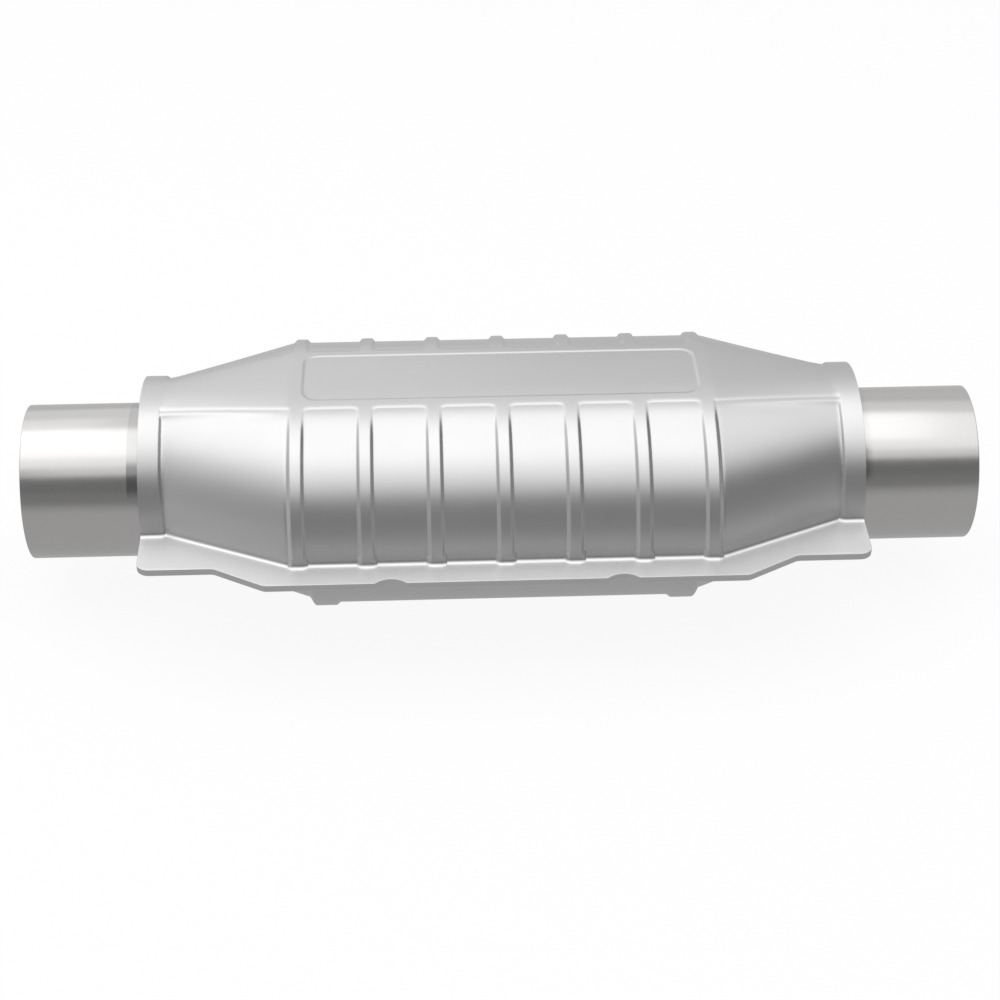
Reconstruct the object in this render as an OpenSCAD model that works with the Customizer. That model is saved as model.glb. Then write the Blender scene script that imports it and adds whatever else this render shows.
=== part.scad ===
// Oval catalytic converter with a two-part stamped heat shield.
// X runs along the gas flow from inlet to outlet, Y across, Z up.
// The origin is on the pipe axis, halfway along. All sizes are in millimetres.

/* [Pipes] */
// Inside diameter of both pipes
pipe_bore = 63.5; // [56:0.5:66]
// Wall of both pipes
pipe_wall = 1.6; // [1.2:0.1:2]
// Length of pipe that stands out of each collar
pipe_out = 50.8; // [25:0.2:100]
// Length of pipe that is held in each neck of the can
pipe_grip = 16.4; // [10:0.1:18]

/* [Heat shield] */
// Length of the heat shield over its two collars
shield_length = 304.8; // [296:0.2:330]
// Length of the ribbed middle of the upper shield
body_length = 179; // [160:0.1:196]
// Width of the upper shield across its ribs
shield_width = 138.8; // [134:0.2:150]
// Height over both shields
shield_height = 101.6; // [94:0.2:112]
// Thickness of the shield sheet
sheet = 1.5; // [1:0.1:1.8]
// Fullness of the upper section's sides, where 2 is an ellipse
side_fullness = 2.75; // [2.5:0.05:3]
// Fullness of the upper section's top, where 2 is an ellipse
top_fullness = 1.94; // [1.9:0.01:2.1]
// Outside diameter of each collar of the upper shield
collar_diameter = 89.6; // [88:0.2:96]
// Length of each collar of the upper shield
collar_length = 8.7; // [8:0.1:10]
// Height of a collar above the end of its cone
collar_step = 0.4; // [0.2:0.1:1]

/* [Ribs and panels of the upper shield] */
// Number of ribs along each side, spread evenly over the middle
rib_count = 7; // [3:2:9]
// Width of a rib at half its height
rib_width = 5.7; // [4:0.1:8]
// Height of the ribs above the side panels
rib_height = 1.4; // [0.8:0.1:1.8]
// Depth of the side panels just inside their upper edges
panel_lip = 0.3; // [0.2:0.05:0.8]
// Distance from a side panel's upper edge to its full depth
panel_slope = 15; // [8:0.5:20]
// Depth of the end cones' panels where they meet the collars
cone_panel_depth = 0.9; // [0.4:0.1:1.2]
// Run of a stamped wall, from its foot to its top
wall_run = 1.8; // [1:0.1:2.2]
// Distance between the upper edges of the side panels, over the top
top_band = 44.4; // [40:0.2:50]
// The same distance between the end cones' panels, where they meet the collars
cone_band = 22; // [16:0.2:28]
// Distance of the sunk top panel from the ends of the ribbed middle
top_panel_margin = 6.0; // [5:0.05:30]
// Distance of the sunk top panel from the upper edges of the side panels
top_panel_rim = 4.6; // [4:0.1:10]
// Depth of the sunk panels on the top and below
top_panel_depth = 0.5; // [0.3:0.1:1]

/* [Lower shield] */
// Width of the lower shield
belly_width = 131; // [124:0.2:144]
// Distance of the lower shield's deep middle from the ends of the ribbed middle
belly_margin = 9.1; // [4:0.1:12]
// Drop from the deep middle to the start of the end cones
belly_step = 3.9; // [3:0.1:4.2]
// Length of that drop
belly_step_run = 3.2; // [1.8:0.1:4]
// Gap between each neck of the can and the lower shield's round end
low_collar_gap = 2.2; // [1.8:0.1:3]
// How far the lower shield's cones run past the start of the necks
low_cone_lap = 2; // [1:0.5:4]
// Distance of the lower shield's sunk panels from the ends of its deep middle
low_panel_margin = 9.4; // [4:0.05:30]
// Distance of the sunk side panels from the lower shield's full width
low_panel_rim = 1.5; // [1.2:0.1:3]
// Width between the lower edges of the two sunk side panels
low_panel_between = 66; // [56:0.5:80]
// Depth of the sunk side panels
low_panel_depth = 1.3; // [0.5:0.1:1.6]

/* [Flanges] */
// How far each flange stands out from the upper shield's width
flange_reach = 11.75; // [9:0.05:16]
// How far each flange stands out from its collar
flange_end_reach = 23.8; // [18:0.1:26]
// How far the wide part of the flanges runs past the ribbed middle
flange_shoulder = 9.7; // [4:0.05:14]
// Length over which the flanges narrow
flange_taper = 21.5; // [15:0.1:25]
// Radius of the flange corners
flange_corner = 5.5; // [3:0.1:8]
// Bend radius between a shield's side and its flange
flange_bend = 2; // [1:0.1:2]
// Distance of each locating notch from the middle
notch_offset = 47.6; // [40:0.1:60]
// Length of a locating notch along the flange edge
notch_length = 12.9; // [8:0.1:16]
// Depth of a locating notch
notch_depth = 2.85; // [1.5:0.05:3.5]

/* [Can] */
// Gap between each side of the oval can and the lower shield's full width
can_side_gap = 10.5; // [10:0.1:14]
// Gap between the oval can and the shields over the top and below
can_top_gap = 10.8; // [10:0.1:14]
// How far the can's top stands above the arcs of its narrow sides
can_crown = 8; // [5:0.5:10]
// Sheet of the can and its cones
can_sheet = 1.5; // [1.2:0.1:1.8]
// Length of each end cone
cone_length = 42; // [38:0.5:44]
// Length of each round neck
neck_length = 25.4; // [22:0.1:26]
// Distance of a neck's end from its collar's end
neck_setback = 3; // [2.8:0.1:4]
// Length of the skirt that laps each cone over the can
skirt_length = 8; // [6:0.5:10]
// Wall of the inner cones
liner_wall = 1; // [0.8:0.1:1.2]
// Distance of an inner cone's seat from the end of the can
seat_setback = 1.8; // [1:0.1:3]
// Length of an inner cone's seat in the can
liner_seat = 3; // [2:0.5:4]
// Length of an inner cone's round end
liner_tail = 17; // [14:0.5:20]
// Length of the weld beads
weld_leg = 2.5; // [2:0.1:3]

/* [Catalyst] */
// Gap between the two bricks
brick_gap = 12; // [8:0.5:20]
// Thickness of the support mats
mat_thickness = 4; // [3:0.1:6]
// Length of the seal ring at each end of a mat
seal_length = 6; // [4:0.5:10]
// How far the spacer ring laps over a brick's end face
spacer_lap = 4; // [2:0.5:6]
// Distance of the mesh ring under a collar from the end of the neck
neck_ring_setback = 0.5; // [0:0.1:1]

/* [Fits] */
// Clearance between pieces that seat in each other
fit = 0.2; // [0.1:0.05:0.3]
// Clearance between sheet edges that only pass each other
edge_gap = 1; // [0.6:0.1:1.2]

/* [Hidden] */

// Radii on the pipe axis, from the bore outwards
bore_r = pipe_bore / 2;
pipe_r = bore_r + pipe_wall;
neck_bore_r = pipe_r + fit;
neck_r = neck_bore_r + can_sheet;
collar_r = collar_diameter / 2;
low_collar_r = neck_r + low_collar_gap + sheet;

// Places along X, counted from the middle
shield_end = shield_length / 2;
pipe_end = shield_end + pipe_out;
collar_start = shield_end - collar_length;
cone_end = collar_start - wall_run;
body_end = body_length / 2;
rib_pitch = (body_length - rib_width - wall_run) / (rib_count - 1);
neck_end = shield_end - neck_setback;
neck_start = neck_end - neck_length;
cone_start = neck_start - cone_length;
can_end = cone_start - edge_gap;
skirt_start = cone_start - skirt_length;
pipe_start = neck_end - pipe_grip;
seat_end = can_end - seat_setback;
seat_start = seat_end - liner_seat;
brick_end = seat_start - fit;
brick_start = brick_gap / 2;
liner_throat = pipe_start - liner_tail;
belly_end = body_end - belly_margin;
step_end = belly_end + belly_step_run;
top_panel_end = body_end - top_panel_margin;
low_panel_end = belly_end - low_panel_margin;
low_cone_end = neck_start + low_cone_lap;
taper_start = body_end + flange_shoulder;
taper_end = taper_start + flange_taper;

// Widths of the sunk panels and over the flanges
top_panel_width = top_band - 2 * top_panel_rim;
low_panel_outer = belly_width - 2 * low_panel_rim;
flange_width = shield_width + 2 * flange_reach;
flange_end_width = collar_diameter + 2 * flange_end_reach;

// The can's oval: two side arcs and two wide arcs that meet them smoothly
can_width = belly_width - 2 * can_side_gap;
can_height = shield_height - 2 * can_top_gap;
can_side_radius = can_height / 2 - can_crown;
side_centre = can_width / 2 - can_side_radius;
wide_centre = (side_centre * side_centre - can_crown * can_crown) / (2 * can_crown);
wide_radius = can_height / 2 + wide_centre;
meet_angle = atan2(wide_centre, side_centre);

// Growth of the can's oval for each surface, from the brick outwards
can_in = -can_sheet;
brick_skin = can_in - mat_thickness;
skirt_in = fit;
skirt_out = skirt_in + can_sheet;

// Points round an oval, pieces round a full turn, and how far a cut runs past a face
ring_points = 72;
$fn = 96;
past = 1;

// Small functions
function mix(a, b, s) = a + (b - a) * s;
function ramp(v, low, high) = max(0, min(1, (v - low) / (high - low)));
function reversed(v) = [for (i = [len(v) - 1 : -1 : 0]) v[i]];

// 1 within a distance of the middle and 0 outside it, with a stamped wall between
function within(v, half) = 1 - ramp(abs(v), half - wall_run / 2, half + wall_run / 2);

// Height of a superellipse, as a share of its half height, at a share of its half width
function rise(share, side, top) = pow(max(0, 1 - pow(abs(share), side)), 1 / top);

// Shares of the half width at a section's points, from one flange over the top to the other.
// The points stand at even angles, and at the foot and the top of each stamped wall in walls,
// which gives the width between the two walls of a pair.
first_angle = 6;
least_angle = 2.4;
function section_shares(width, fullness, walls, steps) =
  let (
    edges = [for (e = walls, w = [-1, 1]) acos(pow((e + w * wall_run) / width, fullness / 2))],
    even = [for (i = [0 : steps]) mix(first_angle, 90, i / steps)],
    clear = [for (a = even) if (min([for (e = edges) abs(e - a)]) > least_angle) a],
    half = [for (a = sorted(concat(edges, clear))) pow(cos(a), 2 / fullness)])
  concat(half, [for (i = [len(half) - 2 : -1 : 0]) -half[i]]);

// 1 on a rib and 0 between the ribs
function on_rib(x) =
  let (k = round(x / rib_pitch))
  abs(k) > (rib_count - 1) / 2 ? 0 : within(x - k * rib_pitch, rib_width / 2);

// Share of the way down an end cone of the upper shield, and 1 in its collar
function down_cone(x) = ramp(abs(x), body_end, cone_end);
function in_collar(x) = ramp(abs(x), cone_end, collar_start);

// Share of the half width at which a point stands, as the end cones' panels close in on the top
function closing(x, share) =
  let (
    edge = top_band / shield_width,
    limit = mix(edge, cone_band / collar_diameter, down_cone(x)),
    far = abs(share))
  sign(share) * (far < edge ? far * limit / edge : 1 - (1 - far) * (1 - limit) / (1 - edge));

// How far the upper shield's outer skin lies inside its full section
function upper_inset(x, share) =
  let (
    across = share * shield_width / 2,
    s = down_cone(x),
    full = mix(rib_height, cone_panel_depth, s),
    sunk = mix(panel_lip, full, ramp(abs(across), top_band / 2, top_band / 2 + panel_slope)),
    panel = sunk * (1 - within(across, top_band / 2)),
    top_panel = top_panel_depth * within(x, top_panel_end) * within(across, top_panel_width / 2))
  abs(x) <= body_end
  ? panel * (1 - on_rib(x)) + top_panel
  : (1 - in_collar(x)) * (panel + collar_step * s);

// Share of the way down an end cone of the lower shield, and how far it lies inside the full section
function down_low_cone(x) = ramp(abs(x), step_end, low_cone_end);
function belly_drop(x) = belly_step * ramp(abs(x), belly_end, step_end) * (1 - down_low_cone(x));

// How far the lower shield's outer skin lies inside its full section
function lower_inset(x, share) =
  let (
    across = share * belly_width / 2,
    side = within(across, low_panel_outer / 2) * (1 - within(across, low_panel_between / 2)),
    below = within(across, top_panel_width / 2))
  within(x, low_panel_end) * (low_panel_depth * side + top_panel_depth * below) + belly_drop(x);

// Half width, half height and the two fullnesses of a shield's section along X
function upper_section(x) =
  let (s = down_cone(x))
  [mix(shield_width / 2, collar_r, s), mix(shield_height / 2, collar_r, s),
   mix(side_fullness, 2, s), mix(top_fullness, 2, s)];
function lower_section(x) =
  let (s = down_low_cone(x))
  [mix(belly_width / 2, low_collar_r, s), mix(shield_height / 2, low_collar_r, s), 2, 2];

upper_steps = 11;
lower_steps = 10;
upper_walls = [top_band, top_panel_width];
lower_walls = [low_panel_outer, low_panel_between, top_panel_width];
upper_shares = section_shares(shield_width, side_fullness, upper_walls, upper_steps);
lower_shares = section_shares(belly_width, 2, lower_walls, lower_steps);

// Half width of the flange along X, with its corners and its notches
notch_radius = (pow(notch_length / 2, 2) + pow(notch_depth, 2)) / (2 * notch_depth);
function flange_half(x) =
  let (
    wide = mix(flange_width, flange_end_width, ramp(abs(x), taper_start, taper_end)) / 2,
    into_corner = max(0, abs(x) - (shield_end - flange_corner)),
    corner = flange_corner - sqrt(max(0, pow(flange_corner, 2) - pow(into_corner, 2))),
    from_notch = abs(abs(x) - notch_offset),
    notch = from_notch < notch_length / 2
      ? sqrt(pow(notch_radius, 2) - pow(from_notch, 2)) - (notch_radius - notch_depth)
      : 0)
  wide - corner - notch;

// Places along X where the flange bends and where its corners start
round_step = 30;
flange_stations = concat(
  [for (a = [-90 : round_step : 90]) notch_offset + notch_length / 2 * sin(a)],
  [taper_start, taper_end],
  [for (a = [0 : round_step : 90]) shield_end - flange_corner + flange_corner * sin(a)]);

// Places along X where a shield's skin bends
upper_stations = concat(
  [for (k = [0 : (rib_count - 1) / 2], e = [-1, 1], w = [-1, 1])
    k * rib_pitch + e * rib_width / 2 + w * wall_run / 2],
  [for (w = [-1, 1]) top_panel_end + w * wall_run / 2],
  [body_end, cone_end, collar_start],
  flange_stations);
lower_stations = concat(
  [0, belly_end, step_end, low_cone_end],
  [for (w = [-1, 1]) low_panel_end + w * wall_run / 2],
  flange_stations);

// Sorts places along X and drops those that nearly meet
least_space = 0.05;
function sorted(v) = len(v) < 2 ? v :
  let (p = v[0], rest = [for (i = [1 : len(v) - 1]) v[i]])
  concat(sorted([for (a = rest) if (a < p) a]), [p], sorted([for (a = rest) if (a >= p) a]));
function spaced(v) =
  [for (i = [0 : len(v) - 1]) if (i == len(v) - 1 || v[i + 1] - v[i] > least_space) v[i]];
function stations(v) = spaced(sorted(concat([for (a = v) if (a >= 0) a], [for (a = v) if (a > 0) -a])));

// A point of a shield's skin, and a point of the bend between its side and its flange
bend_steps = 3;
function skin_point(x, share, sec, inset) =
  [x, -(sec[0] - inset) * share, (sec[1] - inset) * rise(share, sec[2], sec[3])];
function bend_point(x, side, angle, sec, inset) =
  let (
    top = sheet + flange_bend,
    foot = (sec[0] - inset) * pow(1 - pow(top / (sec[1] - inset), sec[3]), 1 / sec[2]))
  [x, -side * (foot + flange_bend * (1 - cos(angle))), top - flange_bend * sin(angle)];

// A shield's section at x: the outer skin from flange to flange, then back along the inner skin.
// sec is the section's size, shares its points, and insets how far each one lies inside it.
function shield_loop(x, sec, shares, insets) =
  let (w = flange_half(x), foot = insets[0], inner_foot = sec[0] - foot - sheet)
  concat(
    [[x, -w, 0], [x, -w, sheet]],
    [for (i = [bend_steps : -1 : 0]) bend_point(x, 1, i * 90 / bend_steps, sec, foot)],
    [for (i = [0 : len(shares) - 1]) skin_point(x, shares[i], sec, insets[i])],
    [for (i = [0 : bend_steps]) bend_point(x, -1, i * 90 / bend_steps, sec, foot)],
    [[x, w, sheet], [x, w, 0], [x, inner_foot, 0]],
    [for (i = [len(shares) - 1 : -1 : 0]) skin_point(x, shares[i], sec, insets[i] + sheet)],
    [[x, -inner_foot, 0]]);
flange_points = bend_steps + 2;

// Faces across a loop of n points that runs out along one skin and back along the other.
// The first and last lead points of the outer skin fan out from the ends of the inner skin.
function cap_faces(n, lead) =
  let (pairs = n / 2 - lead)
  concat(
    [for (k = [0 : 1 : lead - 1]) [n - 1, k, k + 1]],
    [for (i = [0 : pairs - 2]) [lead + i, lead + i + 1, n - 2 - i]],
    [for (i = [0 : pairs - 2]) [lead + i, n - 2 - i, n - 1 - i]],
    [for (k = [0 : 1 : lead - 1]) [n - pairs, lead + pairs - 1 + k, lead + pairs + k]]);

// A solid through such loops that stand one behind the other, with flat ends
module through_loops(loops, lead) {
  n = len(loops[0]);
  last = len(loops) - 1;
  walls = [
    for (i = [0 : last - 1], j = [0 : n - 1], half = [0, 1])
      let (a = i * n + j, b = i * n + (j + 1) % n)
      half == 0 ? [a, b, b + n] : [a, b + n, a + n]
  ];
  cap = cap_faces(n, lead);
  front = [for (f = cap) reversed(f)];
  back = [for (f = cap) [for (v = f) last * n + v]];
  polyhedron(points = [for (l = loops, p = l) p], faces = concat(walls, front, back), convexity = 8);
}

// A solid whose skin runs through rings and closes on itself, as a pipe's wall does
module through_rings(rings) {
  n = len(rings[0]);
  count = len(rings);
  polyhedron(
    points = [for (r = rings, p = r) p],
    faces = [
      for (i = [0 : count - 1], j = [0 : n - 1], half = [0, 1])
        let (
          k = (i + 1) % count,
          a = i * n + j, b = i * n + (j + 1) % n,
          c = k * n + (j + 1) % n, d = k * n + j)
        half == 0 ? [a, c, b] : [a, d, c]
    ],
    convexity = 8);
}

// A point of the can's oval grown outwards, by the direction that its surface faces
function oval_point(facing, grow) =
  let (
    c = cos(facing), s = sin(facing),
    on_end = abs(s) < sin(meet_angle),
    r = grow + (on_end ? can_side_radius : wide_radius))
  [r * c + (on_end ? side_centre * sign(c) : 0), r * s - (on_end ? 0 : wide_centre * sign(s))];

// A ring of points at x, from the oval at round 0 to a circle at round 1
function oval_ring(x, grow, round_r, round, points) =
  [for (i = [0 : points - 1])
    let (
      a = 360 * i / points,
      p = oval_point(a, grow),
      q = [round_r * cos(a), round_r * sin(a)],
      m = mix(p, q, round))
    [x, m[0], m[1]]];

// The can's oval as a flat shape, grown outwards
wide_pieces = 180;
module oval_shape(grow) {
  meet = side_centre + (can_side_radius + grow) * cos(meet_angle);
  for (side = [-1, 1])
    translate([side * side_centre, 0])
      circle(r = can_side_radius + grow);
  intersection() {
    intersection_for(side = [-1, 1])
      translate([0, side * wide_centre])
        circle(r = wide_radius + grow, $fn = wide_pieces);
    square([2 * meet, can_height + 2 * (grow + past)], center = true);
  }
}

// An oval block or an oval tube along X
module oval_block(from, to, grow) {
  translate([from, 0, 0])
    rotate([90, 0, 90])
      linear_extrude(height = to - from)
        oval_shape(grow);
}
module oval_tube(from, to, inner, outer) {
  difference() {
    oval_block(from, to, outer);
    oval_block(from - past, to + past, inner);
  }
}

// A round tube along X
module round_tube(from, to, inner_r, outer_r) {
  translate([from, 0, 0])
    rotate([0, 90, 0])
      difference() {
        cylinder(h = to - from, r = outer_r);
        translate([0, 0, -past])
          cylinder(h = to - from + 2 * past, r = inner_r);
      }
}

// The inlet stands at -X and the outlet at +X: a piece is drawn at +X and mirrored for the inlet
module at_inlet() {
  mirror([1, 0, 0])
    children();
}

// Shields
module upper_shield() {
  loops = [for (x = stations(upper_stations))
    shield_loop(
      x, upper_section(x),
      [for (s = upper_shares) closing(x, s)],
      [for (s = upper_shares) upper_inset(x, s)])];
  color("silver")
    through_loops(loops, flange_points);
}

module lower_shield() {
  loops = [for (x = stations(lower_stations))
    shield_loop(x, lower_section(x), lower_shares, [for (s = lower_shares) lower_inset(x, s)])];
  color("darkgray")
    mirror([0, 0, 1])
      through_loops(loops, flange_points);
}

// Pipes and what holds them
module pipe() {
  color("lightgray")
    round_tube(pipe_start, pipe_end, bore_r, pipe_r);
}

module pipe_weld() {
  color("dimgray")
    translate([neck_end, 0, 0])
      rotate([0, 90, 0])
        rotate_extrude()
          polygon(concat(
            [[pipe_r, 0]],
            [for (a = [90 : -round_step : 0]) [mix(pipe_r, neck_r, sin(a)), weld_leg * cos(a)]]));
}

module neck_ring() {
  from = collar_start + fit;
  to = neck_end - neck_ring_setback;
  inner_r = neck_r + fit / 2;
  upper_r = collar_r - sheet - 2 * fit;
  color("gray") {
    round_tube(from, to, inner_r, low_collar_r - sheet - 2 * fit);
    intersection() {
      round_tube(from, to, inner_r, upper_r);
      translate([from - past, -upper_r - past, fit])
        cube([to - from + 2 * past, 2 * (upper_r + past), upper_r]);
    }
  }
}

// Can
module can_body() {
  color("gainsboro")
    oval_tube(-can_end, can_end, can_in, 0);
}

module cone() {
  color("lightslategray")
    through_rings([
      oval_ring(skirt_start, skirt_out, neck_r, 0, ring_points),
      oval_ring(cone_start, skirt_out, neck_r, 0, ring_points),
      oval_ring(neck_start, skirt_out, neck_r, 1, ring_points),
      oval_ring(neck_end, skirt_out, neck_r, 1, ring_points),
      oval_ring(neck_end, skirt_in, neck_bore_r, 1, ring_points),
      oval_ring(neck_start, skirt_in, neck_bore_r, 1, ring_points),
      oval_ring(cone_start, skirt_in, neck_bore_r, 0, ring_points),
      oval_ring(skirt_start, skirt_in, neck_bore_r, 0, ring_points)
    ]);
}

module cone_weld() {
  seam = fit / 2;
  color("dimgray")
    through_rings([
      oval_ring(skirt_start, skirt_out, neck_r, 0, ring_points),
      oval_ring(skirt_start, seam, neck_r, 0, ring_points),
      oval_ring(skirt_start - weld_leg, seam, neck_r, 0, ring_points),
      oval_ring(skirt_start - weld_leg * cos(45), mix(seam, skirt_out, sin(45)), neck_r, 0, ring_points)
    ]);
}

module liner() {
  lip_r = neck_bore_r - fit;
  outer = can_in - fit;
  inner = outer - liner_wall;
  color("slategray")
    through_rings([
      oval_ring(seat_start, outer, lip_r, 0, ring_points),
      oval_ring(seat_end, outer, lip_r, 0, ring_points),
      oval_ring(liner_throat, outer, lip_r, 1, ring_points),
      oval_ring(pipe_start - fit, outer, lip_r, 1, ring_points),
      oval_ring(pipe_start - fit, inner, lip_r - liner_wall, 1, ring_points),
      oval_ring(liner_throat, inner, lip_r - liner_wall, 1, ring_points),
      oval_ring(seat_end, inner, lip_r - liner_wall, 0, ring_points),
      oval_ring(seat_start, inner, lip_r - liner_wall, 0, ring_points)
    ]);
}

// Catalyst: each piece is drawn on the outlet side
module substrate() {
  color("tan")
    oval_block(brick_start, brick_end, brick_skin);
}

module mat() {
  color("wheat")
    oval_tube(brick_start + seal_length, brick_end - seal_length, brick_skin + fit / 2, can_in - fit / 2);
}

module seal(from) {
  color("darkslategray")
    oval_tube(from, from + seal_length, brick_skin + fit / 2, can_in - fit / 2);
}

module spacer_ring() {
  half = brick_start - fit;
  color("slategray")
    oval_tube(-half, half, brick_skin - spacer_lap, can_in - fit);
}

// Insulation between the can and the shields
wrap_steps = 24;
wrap_angles = [for (i = [0 : wrap_steps]) 180 * i / wrap_steps];
wrap_gap = 1.5 * fit;

// The insulation's inner skin, over the can, the cone's skirt, the cone and the neck
function inner_wrap(x) =
  let (
    lap_start = skirt_start - weld_leg - edge_gap,
    grow = wrap_gap + skirt_out * ramp(abs(x), lap_start, lap_start + weld_leg),
    round = ramp(abs(x), cone_start, neck_start))
  [for (t = wrap_angles)
    let (p = mix(oval_point(t, grow), (neck_r + wrap_gap) * [cos(t), sin(t)], round))
    [x, -p[0], max(wrap_gap, p[1])]];

// The insulation's outer skin, under a shield's section that is taken a little further out along X
function outer_wrap(x, sec, relief) =
  let (inset = sheet + relief + wrap_gap)
  [for (t = wrap_angles)
    let (share = sign(cos(t)) * pow(abs(cos(t)), 2 / sec[2]))
    [x, -(sec[0] - inset) * share, max(wrap_gap, (sec[1] - inset) * rise(share, sec[2], sec[3]))]];
function ahead(x) = abs(x) + wall_run;
function upper_relief(x) = rib_height + collar_step * down_cone(x);
function lower_relief(x) = low_panel_depth * (1 - ramp(abs(x), belly_end, step_end)) + belly_drop(x);
lap_stations = [skirt_start - weld_leg - edge_gap, skirt_start - edge_gap, cone_start];
upper_wrap_stations = concat(
  lap_stations, [body_end + edge_gap, mix(body_end, neck_start, 0.5), neck_start, cone_end]);
lower_wrap_stations = concat(
  lap_stations, [belly_end - wall_run, step_end, mix(step_end, neck_start, 0.5), neck_start]);

module upper_insulation() {
  loops = [for (x = stations(upper_wrap_stations))
    concat(outer_wrap(x, upper_section(ahead(x)), upper_relief(ahead(x))), reversed(inner_wrap(x)))];
  color("beige")
    through_loops(loops, 0);
}

module lower_insulation() {
  loops = [for (x = stations(lower_wrap_stations))
    concat(outer_wrap(x, lower_section(ahead(x)), lower_relief(ahead(x))), reversed(inner_wrap(x)))];
  color("beige")
    mirror([0, 0, 1])
      through_loops(loops, 0);
}

// Pieces by name
module inlet_pipe() { at_inlet() pipe(); }
module outlet_pipe() { pipe(); }
module inlet_pipe_weld() { at_inlet() pipe_weld(); }
module outlet_pipe_weld() { pipe_weld(); }
module inlet_neck_ring() { at_inlet() neck_ring(); }
module outlet_neck_ring() { neck_ring(); }
module inlet_cone() { at_inlet() cone(); }
module outlet_cone() { cone(); }
module inlet_cone_weld() { at_inlet() cone_weld(); }
module outlet_cone_weld() { cone_weld(); }
module inlet_liner() { at_inlet() liner(); }
module outlet_liner() { liner(); }
module front_substrate() { at_inlet() substrate(); }
module rear_substrate() { substrate(); }
module front_mat() { at_inlet() mat(); }
module rear_mat() { mat(); }
module front_inlet_seal() { at_inlet() seal(brick_end - seal_length); }
module front_outlet_seal() { at_inlet() seal(brick_start); }
module rear_inlet_seal() { seal(brick_start); }
module rear_outlet_seal() { seal(brick_end - seal_length); }

upper_shield();
lower_shield();
inlet_pipe();
outlet_pipe();
inlet_pipe_weld();
outlet_pipe_weld();
inlet_neck_ring();
outlet_neck_ring();
can_body();
inlet_cone();
outlet_cone();
inlet_cone_weld();
outlet_cone_weld();
inlet_liner();
outlet_liner();
front_substrate();
rear_substrate();
front_mat();
rear_mat();
front_inlet_seal();
front_outlet_seal();
rear_inlet_seal();
rear_outlet_seal();
spacer_ring();
upper_insulation();
lower_insulation();
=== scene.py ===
"""Looks of an oval catalytic converter: its stamped heat shield, pipes, welds and catalyst bricks.

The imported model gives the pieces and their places, and this script dresses them. Sizes are in metres,
in the frame of the part: X along the gas flow, Y across, Z up, and the origin on the pipe axis, halfway
along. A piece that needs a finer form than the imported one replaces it, in the same place.
"""

import enum
import logging
import math
from dataclasses import dataclass, field

import bmesh
import bpy
import numpy as np
from mathutils import Matrix, Vector


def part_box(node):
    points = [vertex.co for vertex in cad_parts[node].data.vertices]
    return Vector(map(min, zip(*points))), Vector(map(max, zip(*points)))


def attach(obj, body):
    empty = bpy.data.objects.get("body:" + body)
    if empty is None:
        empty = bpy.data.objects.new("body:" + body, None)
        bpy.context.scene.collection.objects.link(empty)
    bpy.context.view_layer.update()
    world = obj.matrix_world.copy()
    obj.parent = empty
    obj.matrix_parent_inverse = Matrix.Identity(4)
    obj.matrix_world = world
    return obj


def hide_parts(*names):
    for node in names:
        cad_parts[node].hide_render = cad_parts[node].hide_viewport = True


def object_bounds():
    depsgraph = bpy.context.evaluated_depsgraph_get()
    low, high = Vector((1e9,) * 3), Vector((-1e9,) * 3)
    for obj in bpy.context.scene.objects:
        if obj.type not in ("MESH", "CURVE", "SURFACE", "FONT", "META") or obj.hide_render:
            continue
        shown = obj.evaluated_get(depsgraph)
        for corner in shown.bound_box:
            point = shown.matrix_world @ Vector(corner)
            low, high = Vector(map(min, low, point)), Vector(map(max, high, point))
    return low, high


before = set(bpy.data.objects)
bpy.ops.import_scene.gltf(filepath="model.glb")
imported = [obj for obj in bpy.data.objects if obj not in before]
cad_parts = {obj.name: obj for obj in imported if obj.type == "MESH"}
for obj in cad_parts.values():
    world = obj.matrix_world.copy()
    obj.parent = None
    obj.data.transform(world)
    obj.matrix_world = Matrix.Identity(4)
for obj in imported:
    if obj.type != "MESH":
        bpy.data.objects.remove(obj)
CAD_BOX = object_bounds()

LOG = logging.getLogger("catalytic_converter")
MM = 0.001
HAIR = 1e-6  # A length too small to matter
ELLIPSE = 2.0  # The fullness of an ellipse
IMAGE_SIZE = 1000  # Width and height of the picture, in pixels
WHITE = (1.0, 1.0, 1.0, 1.0)
Array = np.ndarray
Color = tuple[float, float, float]
Face = tuple[int, ...]


# Small functions

def mix(a: Array | float, b: Array | float, share: Array | float) -> Array | float:
    """Return the value a share of the way from a to b."""
    return a + (b - a) * share


def clamp(v: Array) -> Array:
    """Return v held between 0 and 1."""
    return np.clip(v, 0.0, 1.0)


def smooth(v: Array, low: float, high: float) -> Array:
    """Rise from 0 at low to 1 at high with soft ends.

    Args:
        v: The values to map.
        low: Where the rise starts.
        high: Where the rise ends.

    Returns:
        The mapped values.
    """
    t = clamp((v - low) / (high - low))
    return t * t * (3.0 - 2.0 * t)


def soft_ramp(v: Array, low: float, high: float, bend: float) -> Array:
    """Rise from 0 at low to 1 at high in a straight line with rounded bends.

    Args:
        v: The values to map.
        low: Where the straight rise starts.
        high: Where the straight rise ends.
        bend: Half the length of each rounded bend.

    Returns:
        The mapped values.
    """
    def above(t: Array) -> Array:
        """Return how far t is past 0, with the corner at 0 rounded."""
        return np.where(np.abs(t) < bend, (t + bend) ** 2 / (4.0 * bend), np.maximum(t, 0.0))
    return (above(v - low) - above(v - high)) / (high - low)


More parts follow.
